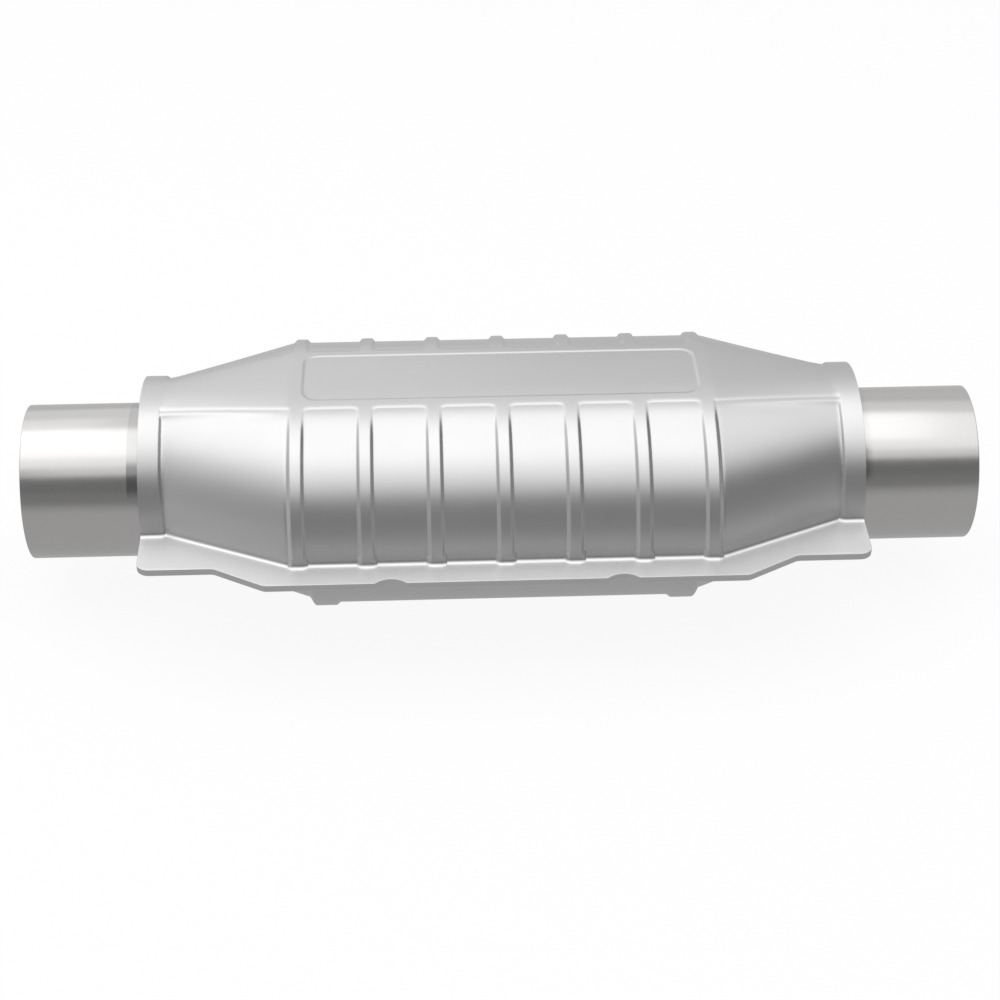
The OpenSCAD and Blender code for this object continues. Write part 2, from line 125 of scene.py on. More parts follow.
def corner_distance(dx: Array, dy: Array, radius: float) -> Array:
    """Return the distance to a round corner that opens towards negative dx and dy.

    Args:
        dx: Distance past the side that stands across X, negative inside.
        dy: Distance past the side that lies along X, negative inside.
        radius: Radius of the corner between the two sides.

    Returns:
        The distance from the outline, negative inside it.
    """
    qx, qy = dx + radius, dy + radius
    outside = np.hypot(np.maximum(qx, 0.0), np.maximum(qy, 0.0))
    return outside + np.minimum(np.maximum(qx, qy), 0.0) - radius


def round_off(past: Array, radius: float) -> Array:
    """Return how far a rounding has turned in at a distance past its start."""
    into = np.maximum(0.0, past)
    return radius - np.sqrt(np.maximum(0.0, radius ** 2 - into ** 2))


def quarter_circle(points: int) -> tuple[Array, Array]:
    """Return the distances of a quarter circle's points from its two tangents, for a radius of 1."""
    turn = np.linspace(0.0, math.pi / 2, points)[None, :]
    return 1.0 - np.sin(turn), 1.0 - np.cos(turn)


@dataclass(frozen=True)
class Detail:
    """A place along a line where a mesh needs short steps.

    Attributes:
        at: The place.
        half: Half the length over which the steps stay shortest.
        step: The shortest step.
    """

    at: float
    half: float
    step: float


def graded(end: float, coarse: float, details: list[Detail], growth: float = 0.17,
           last: float = 1.3) -> Array:
    """Place stations from 0 to end, close together at each detail.

    Args:
        end: The last station.
        coarse: The longest step.
        details: The places that need short steps.
        growth: How fast the steps grow with the distance from a detail.
        last: How many plain steps the last one may be as long as.

    Returns:
        The stations, in rising order.
    """
    places = [0.0]
    while True:
        here = places[-1]
        step = coarse
        for spot in details:
            away = max(0.0, abs(here + spot.step / 2 - spot.at) - spot.half)
            step = min(step, spot.step + growth * away)
        if here + last * step >= end:
            break
        places.append(here + step)
    return np.array(places + [end])


# Meshes

def in_scene(name: str, data: bpy.types.ID) -> bpy.types.Object:
    """Make an object of a mesh, camera or lamp and link it to the scene.

    Args:
        name: The object's name.
        data: The mesh, camera or lamp.

    Returns:
        The new object.
    """
    made = bpy.data.objects.new(name, data)
    bpy.context.scene.collection.objects.link(made)
    return made


class Sheen(enum.Enum):
    """How the faces of a piece are shaded."""

    ALL_SMOOTH = math.pi
    ROUNDED = math.radians(32)
    CRISP = math.radians(15)


@dataclass
class MeshPart:
    """Vertices and faces of one piece, gathered from several patches.

    Attributes:
        points: The patches' vertices.
        faces: The faces, as tuples of vertex numbers.
    """

    points: list[Array] = field(default_factory=list)
    faces: list[Face] = field(default_factory=list)

    def add(self, points: Array, faces: list[Face] | Array) -> None:
        """Add a patch.

        Args:
            points: The patch's vertices, one row each.
            faces: The patch's faces, numbered from its own first vertex.
        """
        first = sum(len(p) for p in self.points)
        self.points.append(np.asarray(points, float).reshape(-1, 3))
        self.faces.extend(tuple(int(i) + first for i in face) for face in faces)

    def add_sweep(self, loops: Array, capped: bool) -> None:
        """Add a skin through loops of points that stand one behind the other.

        Args:
            loops: Points by loop and by place in the loop. Each loop closes on itself.
            capped: True for flat ends, or False where the last loop meets the first.
        """
        rows, n = loops.shape[:2]
        i, j = np.meshgrid(np.arange(rows - 1 if capped else rows), np.arange(n), indexing="ij")
        i, j = i.ravel(), j.ravel()
        k, m = (i + 1) % rows, (j + 1) % n
        quads = np.stack([i * n + j, i * n + m, k * n + m, k * n + j], axis=1)
        faces = [tuple(q) for q in quads.tolist()]
        if capped:
            faces.append(tuple(range(n - 1, -1, -1)))
            faces.append(tuple(range((rows - 1) * n, rows * n)))
        self.add(loops.reshape(-1, 3), faces)

    def build(self, name: str, sheen: Sheen) -> bpy.types.Object:
        """Make the mesh object and link it to the scene.

        Args:
            name: The piece's name.
            sheen: How its faces are shaded.

        Returns:
            The new object.
        """
        mesh = bpy.data.meshes.new(name)
        mesh.from_pydata(np.concatenate(self.points).tolist(), [], self.faces)
        form = bmesh.new()
        form.from_mesh(mesh)
        bmesh.ops.recalc_face_normals(form, faces=form.faces)
        form.to_mesh(mesh)
        form.free()
        mesh.polygons.foreach_set("use_smooth", np.ones(len(mesh.polygons), bool))
        if sheen is not Sheen.ALL_SMOOTH:
            mesh.set_sharp_from_angle(angle=sheen.value)
        return in_scene(name, mesh)


def full_turn(segments: int) -> Array:
    """Return the angles of the steps of a full turn, as a column."""
    return np.linspace(0.0, 2.0 * math.pi, segments, endpoint=False)[:, None]


def turned(x: Array, r: Array, cos: Array, sin: Array) -> MeshPart:
    """Close a skin round the X axis.

    Args:
        x: X by step round the axis and by place in the profile.
        r: Radius, in the same order.
        cos: Y of each step on a circle of radius 1, as a column.
        sin: Z of each step on the same circle.

    Returns:
        The turned skin.
    """
    part = MeshPart()
    part.add_sweep(np.stack([x, r * cos, r * sin], axis=2), capped=False)
    return part


def lathe(profile: list[tuple[float, float]], segments: int) -> MeshPart:
    """Turn a closed profile round the X axis.

    Args:
        profile: Pairs of X and radius, in order round the section.
        segments: How many steps go round the axis.

    Returns:
        The turned skin.
    """
    turn = full_turn(segments)
    x, r = np.array(profile).T
    return turned(x + 0.0 * turn, r, np.cos(turn), np.sin(turn))


def rounded_corner(x: float, r: float, to_x: float, to_r: float, size: float,
                   points: int = 6) -> list[tuple[float, float]]:
    """Return a rounded corner of a turned profile.

    Args:
        x: The sharp corner's X.
        r: The sharp corner's radius.
        to_x: Sign of the way into the piece along X.
        to_r: Sign of the way into the piece along the radius.
        size: Radius of the rounding.
        points: How many points it has.

    Returns:
        Points from the face that ends at x to the wall that ends at r.
    """
    steps = np.radians(np.linspace(0.0, 90.0, points))
    return [(x + to_x * size * (1 - math.cos(a)), r + to_r * size * (1 - math.sin(a))) for a in steps]


# Shader graphs

class Sock:
    """A shader socket whose arithmetic adds Math nodes to its graph."""

    def __init__(self, graph: "Graph", socket: bpy.types.NodeSocket | None) -> None:
        """Wrap a socket.

        Args:
            graph: The graph that the socket is in.
            socket: The output socket, or None for the node that ends a graph.
        """
        self.graph = graph
        self.socket = socket

    def _math(self, operation: str, a: "Sock | float", b: "Sock | float" = 0.0) -> "Sock":
        """Add a Math node that works on a and b."""
        return self.graph.node("ShaderNodeMath", {"operation": operation}, {0: a, 1: b})

    def __add__(self, other: "Sock | float") -> "Sock":
        """Return self + other."""
        return self._math("ADD", self, other)

    __radd__ = __add__

    def __sub__(self, other: "Sock | float") -> "Sock":
        """Return self - other."""
        return self._math("SUBTRACT", self, other)

    def __rsub__(self, other: float) -> "Sock":
        """Return other - self."""
        return self._math("SUBTRACT", other, self)

    def __mul__(self, other: "Sock | float") -> "Sock":
        """Return self * other."""
        return self._math("MULTIPLY", self, other)

    __rmul__ = __mul__

    def __abs__(self) -> "Sock":
        """Return the size of self without its sign."""
        return self._math("ABSOLUTE", self)

    def power(self, exponent: float) -> "Sock":
        """Return self raised to an exponent."""
        return self._math("POWER", self, exponent)

    def wave(self, length: float) -> "Sock":
        """Return a sine of self that repeats over a length, from 0 to 1."""
        return 0.5 + 0.5 * self._math("SINE", self * (2.0 * math.pi / length))

    def rise(self, low: float, high: float) -> "Sock":
        """Return 0 below low, 1 above high and a soft rise between them."""
        inputs = {"Value": self, "From Min": low, "From Max": high}
        return self.graph.node("ShaderNodeMapRange", {"interpolation_type": "SMOOTHSTEP"}, inputs)


class Graph:
    """The node tree of one material or of the world.

    Attributes:
        COLOR_A: Number of a Mix node's first colour input.
        COLOR_B: Number of its second colour input.
        COLOR_OUT: Number of its colour output.
    """

    COLOR_A = 6
    COLOR_B = 7
    COLOR_OUT = 2

    def __init__(self, owner: bpy.types.Material | bpy.types.World) -> None:
        """Start with an empty tree.

        Args:
            owner: The material or the world whose tree it is.
        """
        owner.use_nodes = True
        self.tree = owner.node_tree
        self.tree.nodes.clear()

    def node(self, kind: str, settings: dict | None = None, inputs: dict | None = None,
             output: int | str = 0) -> Sock:
        """Add a node.

        Args:
            kind: The node's type.
            settings: Its own properties, such as an operation. They are set first.
            inputs: Values or sockets for its inputs, by name or number.
            output: The output to return, by name or number.

        Returns:
            The chosen output.
        """
        made = self.tree.nodes.new(kind)
        for name, value in (settings or {}).items():
            setattr(made, name, value)
        for name, value in (inputs or {}).items():
            if isinstance(value, Sock):
                self.tree.links.new(value.socket, made.inputs[name])
            else:
                made.inputs[name].default_value = value
        return Sock(self, made.outputs[output] if len(made.outputs) else None)

    def place(self) -> Sock:
        """Return the surface point in the frame of the part."""
        return self.node("ShaderNodeTexCoord", output="Object")

    def axis(self, letter: str) -> Sock:
        """Return one coordinate of the surface point."""
        return self.node("ShaderNodeSeparateXYZ", inputs={0: self.place()}, output=letter)

    def around(self) -> Sock:
        """Return the angle round the pipe axis, in radians."""
        return self.node("ShaderNodeMath", {"operation": "ARCTAN2"}, {0: self.axis("Y"), 1: self.axis("Z")})

    def noise(self, size: float, stretch: tuple[float, float, float] = (1.0, 1.0, 1.0),
              detail: float = 3.0, seed: float = 0.0) -> Sock:
        """Return a noise from 0 to 1.

        Args:
            size: The size of its features.
            stretch: How much longer they are along each axis.
            detail: How many finer layers it has.
            seed: Where in the noise it is taken.

        Returns:
            The noise value.
        """
        scale = tuple(1.0 / (size * s) for s in stretch)
        place = self.node("ShaderNodeVectorMath", {"operation": "MULTIPLY"}, {0: self.place(), 1: scale})
        return self.node("ShaderNodeTexNoise", {"noise_dimensions": "4D"},
                         {"Vector": place, "W": seed, "Scale": 1.0, "Detail": detail})

    def tint(self, factor: Sock, low: Sock | Color, high: Color) -> Sock:
        """Return a colour between low and high.

        Args:
            factor: Share of the high colour.
            low: Colour at 0.
            high: Colour at 1.

        Returns:
            The mixed colour.
        """
        first = low if isinstance(low, Sock) else (*low, 1.0)
        inputs = {0: factor, self.COLOR_A: first, self.COLOR_B: (*high, 1.0)}
        return self.node("ShaderNodeMix", {"data_type": "RGBA"}, inputs, self.COLOR_OUT)

    def bump(self, height: Sock, depth: float) -> Sock:
        """Return a normal that follows a height from 0 to 1 over a real depth."""
        return self.node("ShaderNodeBump", inputs={"Height": height, "Distance": depth, "Strength": 1.0})


def grey(level: float) -> Color:
    """Return a grey of one level."""
    return (level,) * 3


def shade(color: Color, share: float) -> Color:
    """Return a colour made darker or lighter by a share."""
    return tuple(min(1.0, c * share) for c in color)


# Finishes

@dataclass(frozen=True)
class Finish:
    """A finish that pieces share.

    Attributes:
        name: The material's name.
        slot: The record's material slot; not used.
        color: The base colour.
        roughness: The mean roughness.
        metallic: 1 for bare metal and 0 for fibre and ceramic.
    """

    name: str
    slot: str
    color: Color
    roughness: float
    metallic: float = 1.0

    def material(self) -> bpy.types.Material:
        """Return the finish's material, and make it the first time.

        Returns:
            The material.
        """
        made = bpy.data.materials.get(self.name)
        if made is None:
            made = bpy.data.materials.new(self.name)
            graph = Graph(made)
            inputs = self.inputs(graph) | {"Metallic": self.metallic}
            shader = graph.node("ShaderNodeBsdfPrincipled", None, inputs)
            graph.node("ShaderNodeOutputMaterial", None, {"Surface": shader})
        return made

    def inputs(self, graph: Graph) -> dict[str, Sock | float]:
        """Return what feeds the Principled shader, which each finish works out for itself."""
        raise NotImplementedError

    def dress(self, piece: bpy.types.Object) -> None:
        """Put the finish on a piece in place of what it had."""
        piece.data.materials.clear()
        piece.data.materials.append(self.material())


@dataclass(frozen=True)
class RolledSteel(Finish):
    """Stainless sheet or tube with a fine satin grain.

    Attributes:
        grain: How much longer the grain is along each axis.
        grain_size: Width of the grain.
        grain_depth: Depth of the grain.
        grain_dulling: How much the roughness varies with the grain.
        wear_size: Size of the worn patches.
        wear_dulling: How much the roughness varies with the wear.
        cloud_size: Size of the patches in which the grey drifts.
        clouding: How much the grey drifts from place to place.
    """

    grain: tuple[float, float, float] = (6.0, 1.0, 1.0)
    grain_size: float = 0.35 * MM
    grain_depth: float = 0.004 * MM
    grain_dulling: float = 0.04
    wear_size: float = 9.0 * MM
    wear_dulling: float = 0.05
    cloud_size: float = 28.0 * MM
    clouding: float = 0.02

    def inputs(self, graph: Graph) -> dict[str, Sock | float]:
        """Return a clouded grey with a satin grain.

        Args:
            graph: The material's graph.

        Returns:
            Values and sockets by input name.
        """
        drift = graph.noise(self.cloud_size, detail=2.0, seed=1.7)
        grain = graph.noise(self.grain_size, self.grain, detail=2.0, seed=4.1)
        wear = graph.noise(self.wear_size, detail=3.0, seed=8.3)
        low, high = shade(self.color, 1 - self.clouding), shade(self.color, 1 + self.clouding)
        dulling = self.wear_dulling * (wear - 0.5) + self.grain_dulling * (grain - 0.5)
        return {
            "Base Color": graph.tint(drift, low, high),
            "Roughness": self.roughness + dulling,
            "Normal": graph.bump(grain, self.grain_depth),
        }


@dataclass(frozen=True)
class ShieldSteel(RolledSteel):
    """The shields' satin sheet, duller on the flat flanges, with a paler grey painted on their faces as
    light.

    Attributes:
        flange_face: Height of the flanges' faces above the seam.
        flange_from: Heights past those faces between which the flanges' painted light and dulling start.
        flange_to: Heights past those faces between which they end.
        flange_painted_light: Paler grey painted on the flanges' faces as light.
        flange_roughness: Roughness of the flanges.
    """

    flange_face: float = 1.5 * MM
    flange_from: tuple[float, float] = (-0.2 * MM, -0.04 * MM)
    flange_to: tuple[float, float] = (0.15 * MM, 1.0 * MM)
    flange_painted_light: float = 0.76
    flange_roughness: float = 0.44

    def inputs(self, graph: Graph) -> dict[str, Sock | float]:
        """Return the satin grain with painted light and duller roughness on the flanges' faces.

        Args:
            graph: The material's graph.

        Returns:
            Values and sockets by input name.
        """
        feeds = super().inputs(graph)
        height = abs(graph.axis("Z")) - self.flange_face
        flange = height.rise(*self.flange_from) * (1.0 - height.rise(*self.flange_to))
        # Painted light: the flanges' faces get a paler grey than the sheet
        color = graph.tint(flange, feeds["Base Color"], grey(self.flange_painted_light))
        dull = feeds["Roughness"] + flange * (self.flange_roughness - self.roughness)
        return feeds | {"Base Color": color, "Roughness": dull}


@dataclass(frozen=True)
class TubeSteel(RolledSteel):
    """Drawn tube, with painted shade in a band beside each collar that fades out low on the pipe.

    Attributes:
        collar_edge: Distance of the collars' free edges from the middle.
        middle_half: Half the length over which the inlet's look turns into the outlet's.
        band: Width of the inlet's band of painted shade.
        band_half: Half the width over which that band ends.
        soft_band: Where the outlet's band has faded out, past the collar's edge.
        soft_start: Where it starts to fade.
        painted_band_shade: How much the inlet's band of painted shade darkens the pipe.
        painted_shoulder_shade: How much more painted shade it adds on the pipe's shoulder.
        outlet_shade_gain: How much stronger the outlet's painted shade is.
        band_low: Height on the pipe below which there is no band.
        band_high: Height on the pipe above which the band is whole.
        dark_high: Height on the pipe where the shoulder ends.
        dark_half: Half the height over which it ends.
    """

    collar_edge: float = 152.4 * MM
    middle_half: float = 1.0 * MM
    band: float = 6.1 * MM
    band_half: float = 0.25 * MM
    soft_band: float = 6.5 * MM
    soft_start: float = -1.0 * MM
    painted_band_shade: float = 0.13
    painted_shoulder_shade: float = 0.33
    outlet_shade_gain: float = 0.7
    band_low: float = 10.5 * MM
    band_high: float = 15.5 * MM
    dark_high: float = 24.0 * MM
    dark_half: float = 1.5 * MM

    def inputs(self, graph: Graph) -> dict[str, Sock | float]:
        """Return the satin grain with the bands of painted shade over it.

        Args:
            graph: The material's graph.

        Returns:
            Values and sockets by input name.
        """
        feeds = super().inputs(graph)
        x, height = graph.axis("X"), graph.axis("Z")
        along = abs(x) - self.collar_edge
        crisp = 1.0 - along.rise(self.band - self.band_half, self.band + self.band_half)
        soft = 1.0 - along.rise(self.soft_start, self.soft_band)
        at_outlet = x.rise(-self.middle_half, self.middle_half)
        # Painted shade: a band beside each collar darkens the pipe's colour, most on its shoulder
        band = (crisp + at_outlet * (soft - crisp)) * height.rise(self.band_low, self.band_high)
        shoulder = 1.0 - height.rise(self.dark_high - self.dark_half, self.dark_high + self.dark_half)
        shaded = band * (self.painted_band_shade + self.painted_shoulder_shade * shoulder) * (1.0 + self.outlet_shade_gain * at_outlet)
        return feeds | {"Base Color": graph.tint(shaded, feeds["Base Color"], grey(0.0))}


@dataclass(frozen=True)
class WeldMetal(Finish):
    """A weld bead, straw and grey with heat.

    Attributes:
        straw: Colour of the straw patches.
        patch_size: Size of those patches.
        patch_edge: Levels of their noise between which a patch ends.
        pit_size: Size of the pits.
        pit_depth: Depth of the pits.
        pit_dulling: How much the roughness varies with the pits.
    """

    straw: Color = (0.5, 0.43, 0.34)
    patch_size: float = 5.0 * MM
    patch_edge: tuple[float, float] = (0.4, 0.7)
    pit_size: float = 0.4 * MM
    pit_depth: float = 0.03 * MM
    pit_dulling: float = 0.15

    def inputs(self, graph: Graph) -> dict[str, Sock | float]:
        """Return a mottled grey with straw patches.

        Args:
            graph: The material's graph.

        Returns:
            Values and sockets by input name.
        """
        heat = graph.noise(self.patch_size, detail=3.0, seed=2.2).rise(*self.patch_edge)
        pits = graph.noise(self.pit_size, detail=2.0, seed=6.0)
        return {
            "Base Color": graph.tint(heat, self.color, self.straw),
            "Roughness": self.roughness + self.pit_dulling * (pits - 0.5),
            "Normal": graph.bump(pits, self.pit_depth),
        }


@dataclass(frozen=True)
class KnittedWire(Finish):
    """Knitted wire mesh pressed into a ring, with painted shade in the gaps between its wires.

    Attributes:
        pitch: Distance between rows of loops.
        loops: How many loops go round.
        wander_size: Length over which the wires wander.
        wander_round: How far they wander round the ring, in loops.
        wander_along: How far their rows wander.
        wire_edge: Levels of the weave between which a wire ends.
        painted_gap_shade: Brightness of the painted shade in the gaps, as a share of the wires'.
        gap_dulling: How much rougher the gaps are.
        depth: Depth of the gaps.
    """

    pitch: float = 0.9 * MM
    loops: int = 150
    wander_size: float = 2.5 * MM
    wander_round: float = 0.8
    wander_along: float = 0.4 * MM
    wire_edge: tuple[float, float] = (0.08, 0.45)
    painted_gap_shade: float = 0.22
    gap_dulling: float = 0.2
    depth: float = 0.25 * MM

    def inputs(self, graph: Graph) -> dict[str, Sock | float]:
        """Return wires with painted shade in the gaps between them.

        Args:
            graph: The material's graph.

        Returns:
            Values and sockets by input name.
        """
        y, z = graph.axis("Y"), graph.axis("Z")
        radius = (y * y + z * z).power(0.5)
        wander = graph.noise(self.wander_size, detail=2.0, seed=3.3)
        turn = graph.around() * (self.loops / (2.0 * math.pi)) + wander * self.wander_round
        row = radius + graph.axis("X") + self.wander_along * wander
        weave = turn.wave(1.0) * row.wave(self.pitch)
        # Painted shade: the gaps between the wires get a dark colour
        gap = shade(self.color, self.painted_gap_shade)
        return {
            "Base Color": graph.tint(weave.rise(*self.wire_edge), gap, self.color),
            "Roughness": self.roughness + self.gap_dulling * (1.0 - weave),
            "Normal": graph.bump(weave, self.depth),
        }


@dataclass(frozen=True)
class Ceramic(Finish):
    """Washcoated honeycomb, matt and slightly mottled.

    Attributes:
        tones: The darkest and the palest patches, as shares of the colour.
        patch_size: Size of the patches.
        grit_size: Size of the grit.
        grit_depth: Depth of the grit.
        grit_dulling: How much the roughness varies with the grit.
    """

    tones: tuple[float, float] = (0.88, 1.08)
    patch_size: float = 7.0 * MM
    grit_size: float = 0.15 * MM
    grit_depth: float = 0.02 * MM
    grit_dulling: float = 0.1

    def inputs(self, graph: Graph) -> dict[str, Sock | float]:
        """Return a mottled tan with a fine grit.

        Args:
            graph: The material's graph.

        Returns:
            Values and sockets by input name.
        """
        mottle = graph.noise(self.patch_size, detail=4.0, seed=5.1)
        grit = graph.noise(self.grit_size, detail=2.0, seed=9.4)
        return {
            "Base Color": graph.tint(mottle, *(shade(self.color, tone) for tone in self.tones)),
            "Roughness": self.roughness + self.grit_dulling * (grit - 0.5),
            "Normal": graph.bump(grit, self.grit_depth),
        }


@dataclass(frozen=True)
class Fibre(Finish):
    """Pressed fibre: a support mat, a seal or an insulating blanket.

    Attributes:
        strand: Width of the strands.
        strand_length: Their length, in widths.
        depth: Depth of the felt.
        tones: The darkest and the palest strands, as shares of the colour.
    """

    strand: float = 0.4 * MM
    strand_length: float = 9.0
    depth: float = 0.15 * MM
    tones: tuple[float, float] = (0.8, 1.12)

    def inputs(self, graph: Graph) -> dict[str, Sock | float]:
        """Return felted strands that cross each other.

        Args:
            graph: The material's graph.

        Returns:
            Values and sockets by input name.
        """
        long = self.strand_length
        along = graph.noise(self.strand, (long, 1.0, 1.0), detail=3.0, seed=1.1)
        across = graph.noise(self.strand, (1.0, long, long), detail=3.0, seed=7.7)
        felt = along * 0.5 + across * 0.5
        return {
            "Base Color": graph.tint(felt, *(shade(self.color, tone) for tone in self.tones)),
            "Roughness": self.roughness,
            "Normal": graph.bump(felt, self.depth),
        }


SHIELD_STEEL = ShieldSteel("satin_shield_steel", "shield_steel", grey(0.585), 0.36)
PIPE_STEEL = TubeSteel("drawn_pipe_steel", "pipe_steel", (0.58, 0.572, 0.565), 0.22, grain=(9.0, 1.0, 1.0))
CAN_STEEL = RolledSteel("rolled_can_steel", "can_steel", (0.55, 0.55, 0.54), 0.42, clouding=0.05)
WELD_METAL = WeldMetal("weld_bead_metal", "weld", (0.42, 0.4, 0.38), 0.38)
WIRE_MESH = KnittedWire("knitted_wire", "steel_mesh", grey(0.5), 0.35)
BRICK = Ceramic("washcoated_ceramic", "ceramic", (0.66, 0.58, 0.46), 0.85, metallic=0.0)
MAT = Fibre("support_mat_fibre", "support_mat", (0.72, 0.68, 0.58), 0.9, metallic=0.0)
SEAL = Fibre("seal_fibre", "seal_fibre", (0.5, 0.5, 0.48), 0.8, metallic=0.0, depth=0.25 * MM)
BLANKET = Fibre("fibre_blanket", "insulation", (0.82, 0.8, 0.74), 0.95, metallic=0.0,
                strand=0.7 * MM, depth=0.4 * MM)


def hand_over(part: MeshPart, name: str, sheen: Sheen, finish: Finish, node: str) -> None:
    """Make a piece, dress it, seat it on the frame and report it.

    Args:
        part: The piece's vertices and faces, in their place.
        name: The piece's name.
        sheen: How its faces are shaded.
        finish: Its finish.
        node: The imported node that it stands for.
    """
    piece = part.build(name, sheen)
    finish.dress(piece)
    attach(piece, "root")
    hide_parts(node)
    LOG.info("%s: %d faces, %s", name, len(piece.data.polygons), finish.name)


# The heat shield

@dataclass
class ShieldHalf:
    """What the two stamped halves of the heat shield share.

    Attributes:
        name: The piece's name.
        node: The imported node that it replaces.
        upward: 1 for the upper half and -1 for the lower.
        sheet: Thickness of the sheet.
        wall_run: Run of a stamped wall, from its foot to its top.
        crease: Length of the rounded bends where cones and flanges change their slope.
        body_end: Where the ribbed middle ends.
        flange_shoulder: How far the wide part of the flange runs past the middle.
        flange_taper: Length over which the flange narrows.
        flange_end_half: Half the width over the flanges at their ends.
        flange_corner: Radius of the flange's corners.
        flange_bend: Bend radius between the side and the flange.
        notch_at: Distance of each locating notch from the middle.
        notch_length: Length of a notch along the flange edge.
        notch_depth: Depth of a notch.
        edge_round: Rounding of the sheet's upper edges.
        seam_round: Rounding of the sheet's edges at the seam between the halves.
        first_angle: Angle round the section, from the flange, at which its points start.
        samples: Points with which the section's length is measured.
        coarse_mesh: Longest step of the mesh along X.
        crease_mesh: Its step at the bends where cones and flanges change their slope.
        notch_mesh: Its step at the ends of the notches.
        edge_mesh: Its step at the sheet's free ends.
        wall_mesh: Its step at the stamped walls.
        wall_margin: How far past a wall it keeps that step.
        outer_mesh: Longest step round the outer skin.
        inner_mesh: Longest step round the inner skin.
        panel_mesh: Step round the outer skin at the panels' edges.
        panel_half: Half the length over which it keeps that step.
        foot_mesh: Step round the outer skin at the bend into the flange.
        foot_half: Length over which it keeps that step.
        bend_points: Points round the bend into the flange.
        edge_points: Points round each edge of the flange.
        land: Where the flange's face has points, as shares of its width.
    """

    name: str
    node: str
    upward: int
    sheet: float = 1.5 * MM
    wall_run: float = 1.8 * MM
    crease: float = 2.5 * MM
    body_end: float = 89.5 * MM
    flange_shoulder: float = 9.7 * MM
    flange_taper: float = 21.5 * MM
    flange_end_half: float = 68.6 * MM
    flange_corner: float = 5.5 * MM
    flange_bend: float = 2.3 * MM
    notch_at: float = 47.6 * MM
    notch_length: float = 12.9 * MM
    notch_depth: float = 2.85 * MM
    edge_round: float = 0.1 * MM
    seam_round: float = 0.06 * MM
    first_angle: float = math.radians(6)
    samples: int = 4000
    coarse_mesh: float = 2.6 * MM
    crease_mesh: float = 0.7 * MM
    notch_mesh: float = 0.5 * MM
    edge_mesh: float = 0.06 * MM
    wall_mesh: float = 0.36 * MM
    wall_margin: float = 0.4 * MM
    outer_mesh: float = 3.0 * MM
    inner_mesh: float = 6.5 * MM
    panel_mesh: float = 0.36 * MM
    panel_half: float = 1.3 * MM
    foot_mesh: float = 0.5 * MM
    foot_half: float = 1.0 * MM
    bend_points: int = 11
    edge_points: int = 5
    land: tuple[float, ...] = (0.06, 0.5, 0.94)

    def __post_init__(self) -> None:
        """Read the half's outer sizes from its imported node, and work out where the flange narrows."""
        low, high = (np.array(corner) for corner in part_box(self.node))
        self.end = float(high[0])
        self.half_flange = float(high[1])
        self.half_height = float(np.abs([low[2], high[2]]).max())
        self.taper_start = self.body_end + self.flange_shoulder
        self.taper_end = self.taper_start + self.flange_taper

    def end_round(self, x: Array) -> Array:
        """Return how far the outer skin turns in at the sheet's free ends."""
        return round_off(np.abs(x) - (self.end - self.edge_round), self.edge_round)

    def flange_half(self, x: Array) -> Array:
        """Return the flange's half width along X, with its corners and notches.

        Args:
            x: Places along X.

        Returns:
            The half width at each place.
        """
        far = np.abs(x)
        taper = soft_ramp(far, self.taper_start, self.taper_end, self.crease / 2)
        wide = mix(self.half_flange, self.flange_end_half, taper)
        corner = round_off(far - (self.end - self.flange_corner), self.flange_corner)
        radius = ((self.notch_length / 2) ** 2 + self.notch_depth ** 2) / (2 * self.notch_depth)
        across = np.minimum(np.abs(far - self.notch_at), self.notch_length / 2)
        notch = np.sqrt(radius ** 2 - across ** 2) - (radius - self.notch_depth)
        return wide - corner - notch

    def stations(self) -> Array:
        """Place the loops of the mesh along X.

        Returns:
            The places, in rising order.
        """
        notch_ends = (self.notch_at - self.notch_length / 2, self.notch_at + self.notch_length / 2)
        details = [Detail(at, 0.0, self.notch_mesh) for at in notch_ends]
        tapers = (self.taper_start, self.taper_end)
        details += [Detail(at, self.crease / 2, self.crease_mesh) for at in tapers]
        details.append(Detail(self.end, self.edge_round, self.edge_mesh))
        half = graded(self.end, self.coarse_mesh, details + self.stamped_places())
        return np.concatenate([-half[:0:-1], half])

    def stamped_places(self) -> list[Detail]:
        """Return the places along X where this half's stamping needs short steps."""
        raise NotImplementedError

    def section(self, x: Array) -> tuple[Array, Array, Array, Array]:
        """Return the half width, half height and fullnesses of the sides and top of the section at x."""
        raise NotImplementedError

    def edge_shares(self) -> dict[str, float]:
        """Return the shares of the half width where panels have their edges in the middle."""
        raise NotImplementedError

    def relief(self, x: Array, share: Array, arc: Array, edges: dict[str, Array]) -> Array:
        """Return how far the outer skin lies inside its full section."""
        raise NotImplementedError

    def placed(self, x: Array, share: Array) -> Array:
        """Return the share of the half width at which a point of the middle's section stands at x."""
        return share + 0.0 * x

    def skin(self, x: Array, share: Array, inset: Array) -> tuple[Array, Array]:
        """Return the points of a skin.

        Args:
            x: Places along X, as a column.
            share: Shares of the half width in the middle, as a row.
            inset: How far the skin lies inside the full section.

        Returns:
            The distance from the middle plane and the height.
        """
        half_w, half_h, side, top = self.section(x)
        at = self.placed(x, share)
        rise = np.maximum(0.0, 1.0 - at ** side) ** (1.0 / top)
        return (half_w - inset) * at, (half_h - inset) * rise

    def arc_length(self, x: Array, share: Array) -> Array:
        """Return the length along the section from the top to each share.

        Args:
            x: Places along X, as a column.
            share: Shares of the half width, as a row that falls to 0.

        Returns:
            The lengths by place and share.
        """
        y, z = self.skin(x, share, np.zeros((len(x), share.shape[1])))
        steps = np.hypot(np.diff(y, axis=1), np.diff(z, axis=1))
        zero = np.zeros((len(x), 1))
        return np.concatenate([np.cumsum(steps[:, ::-1], axis=1)[:, ::-1], zero], axis=1)

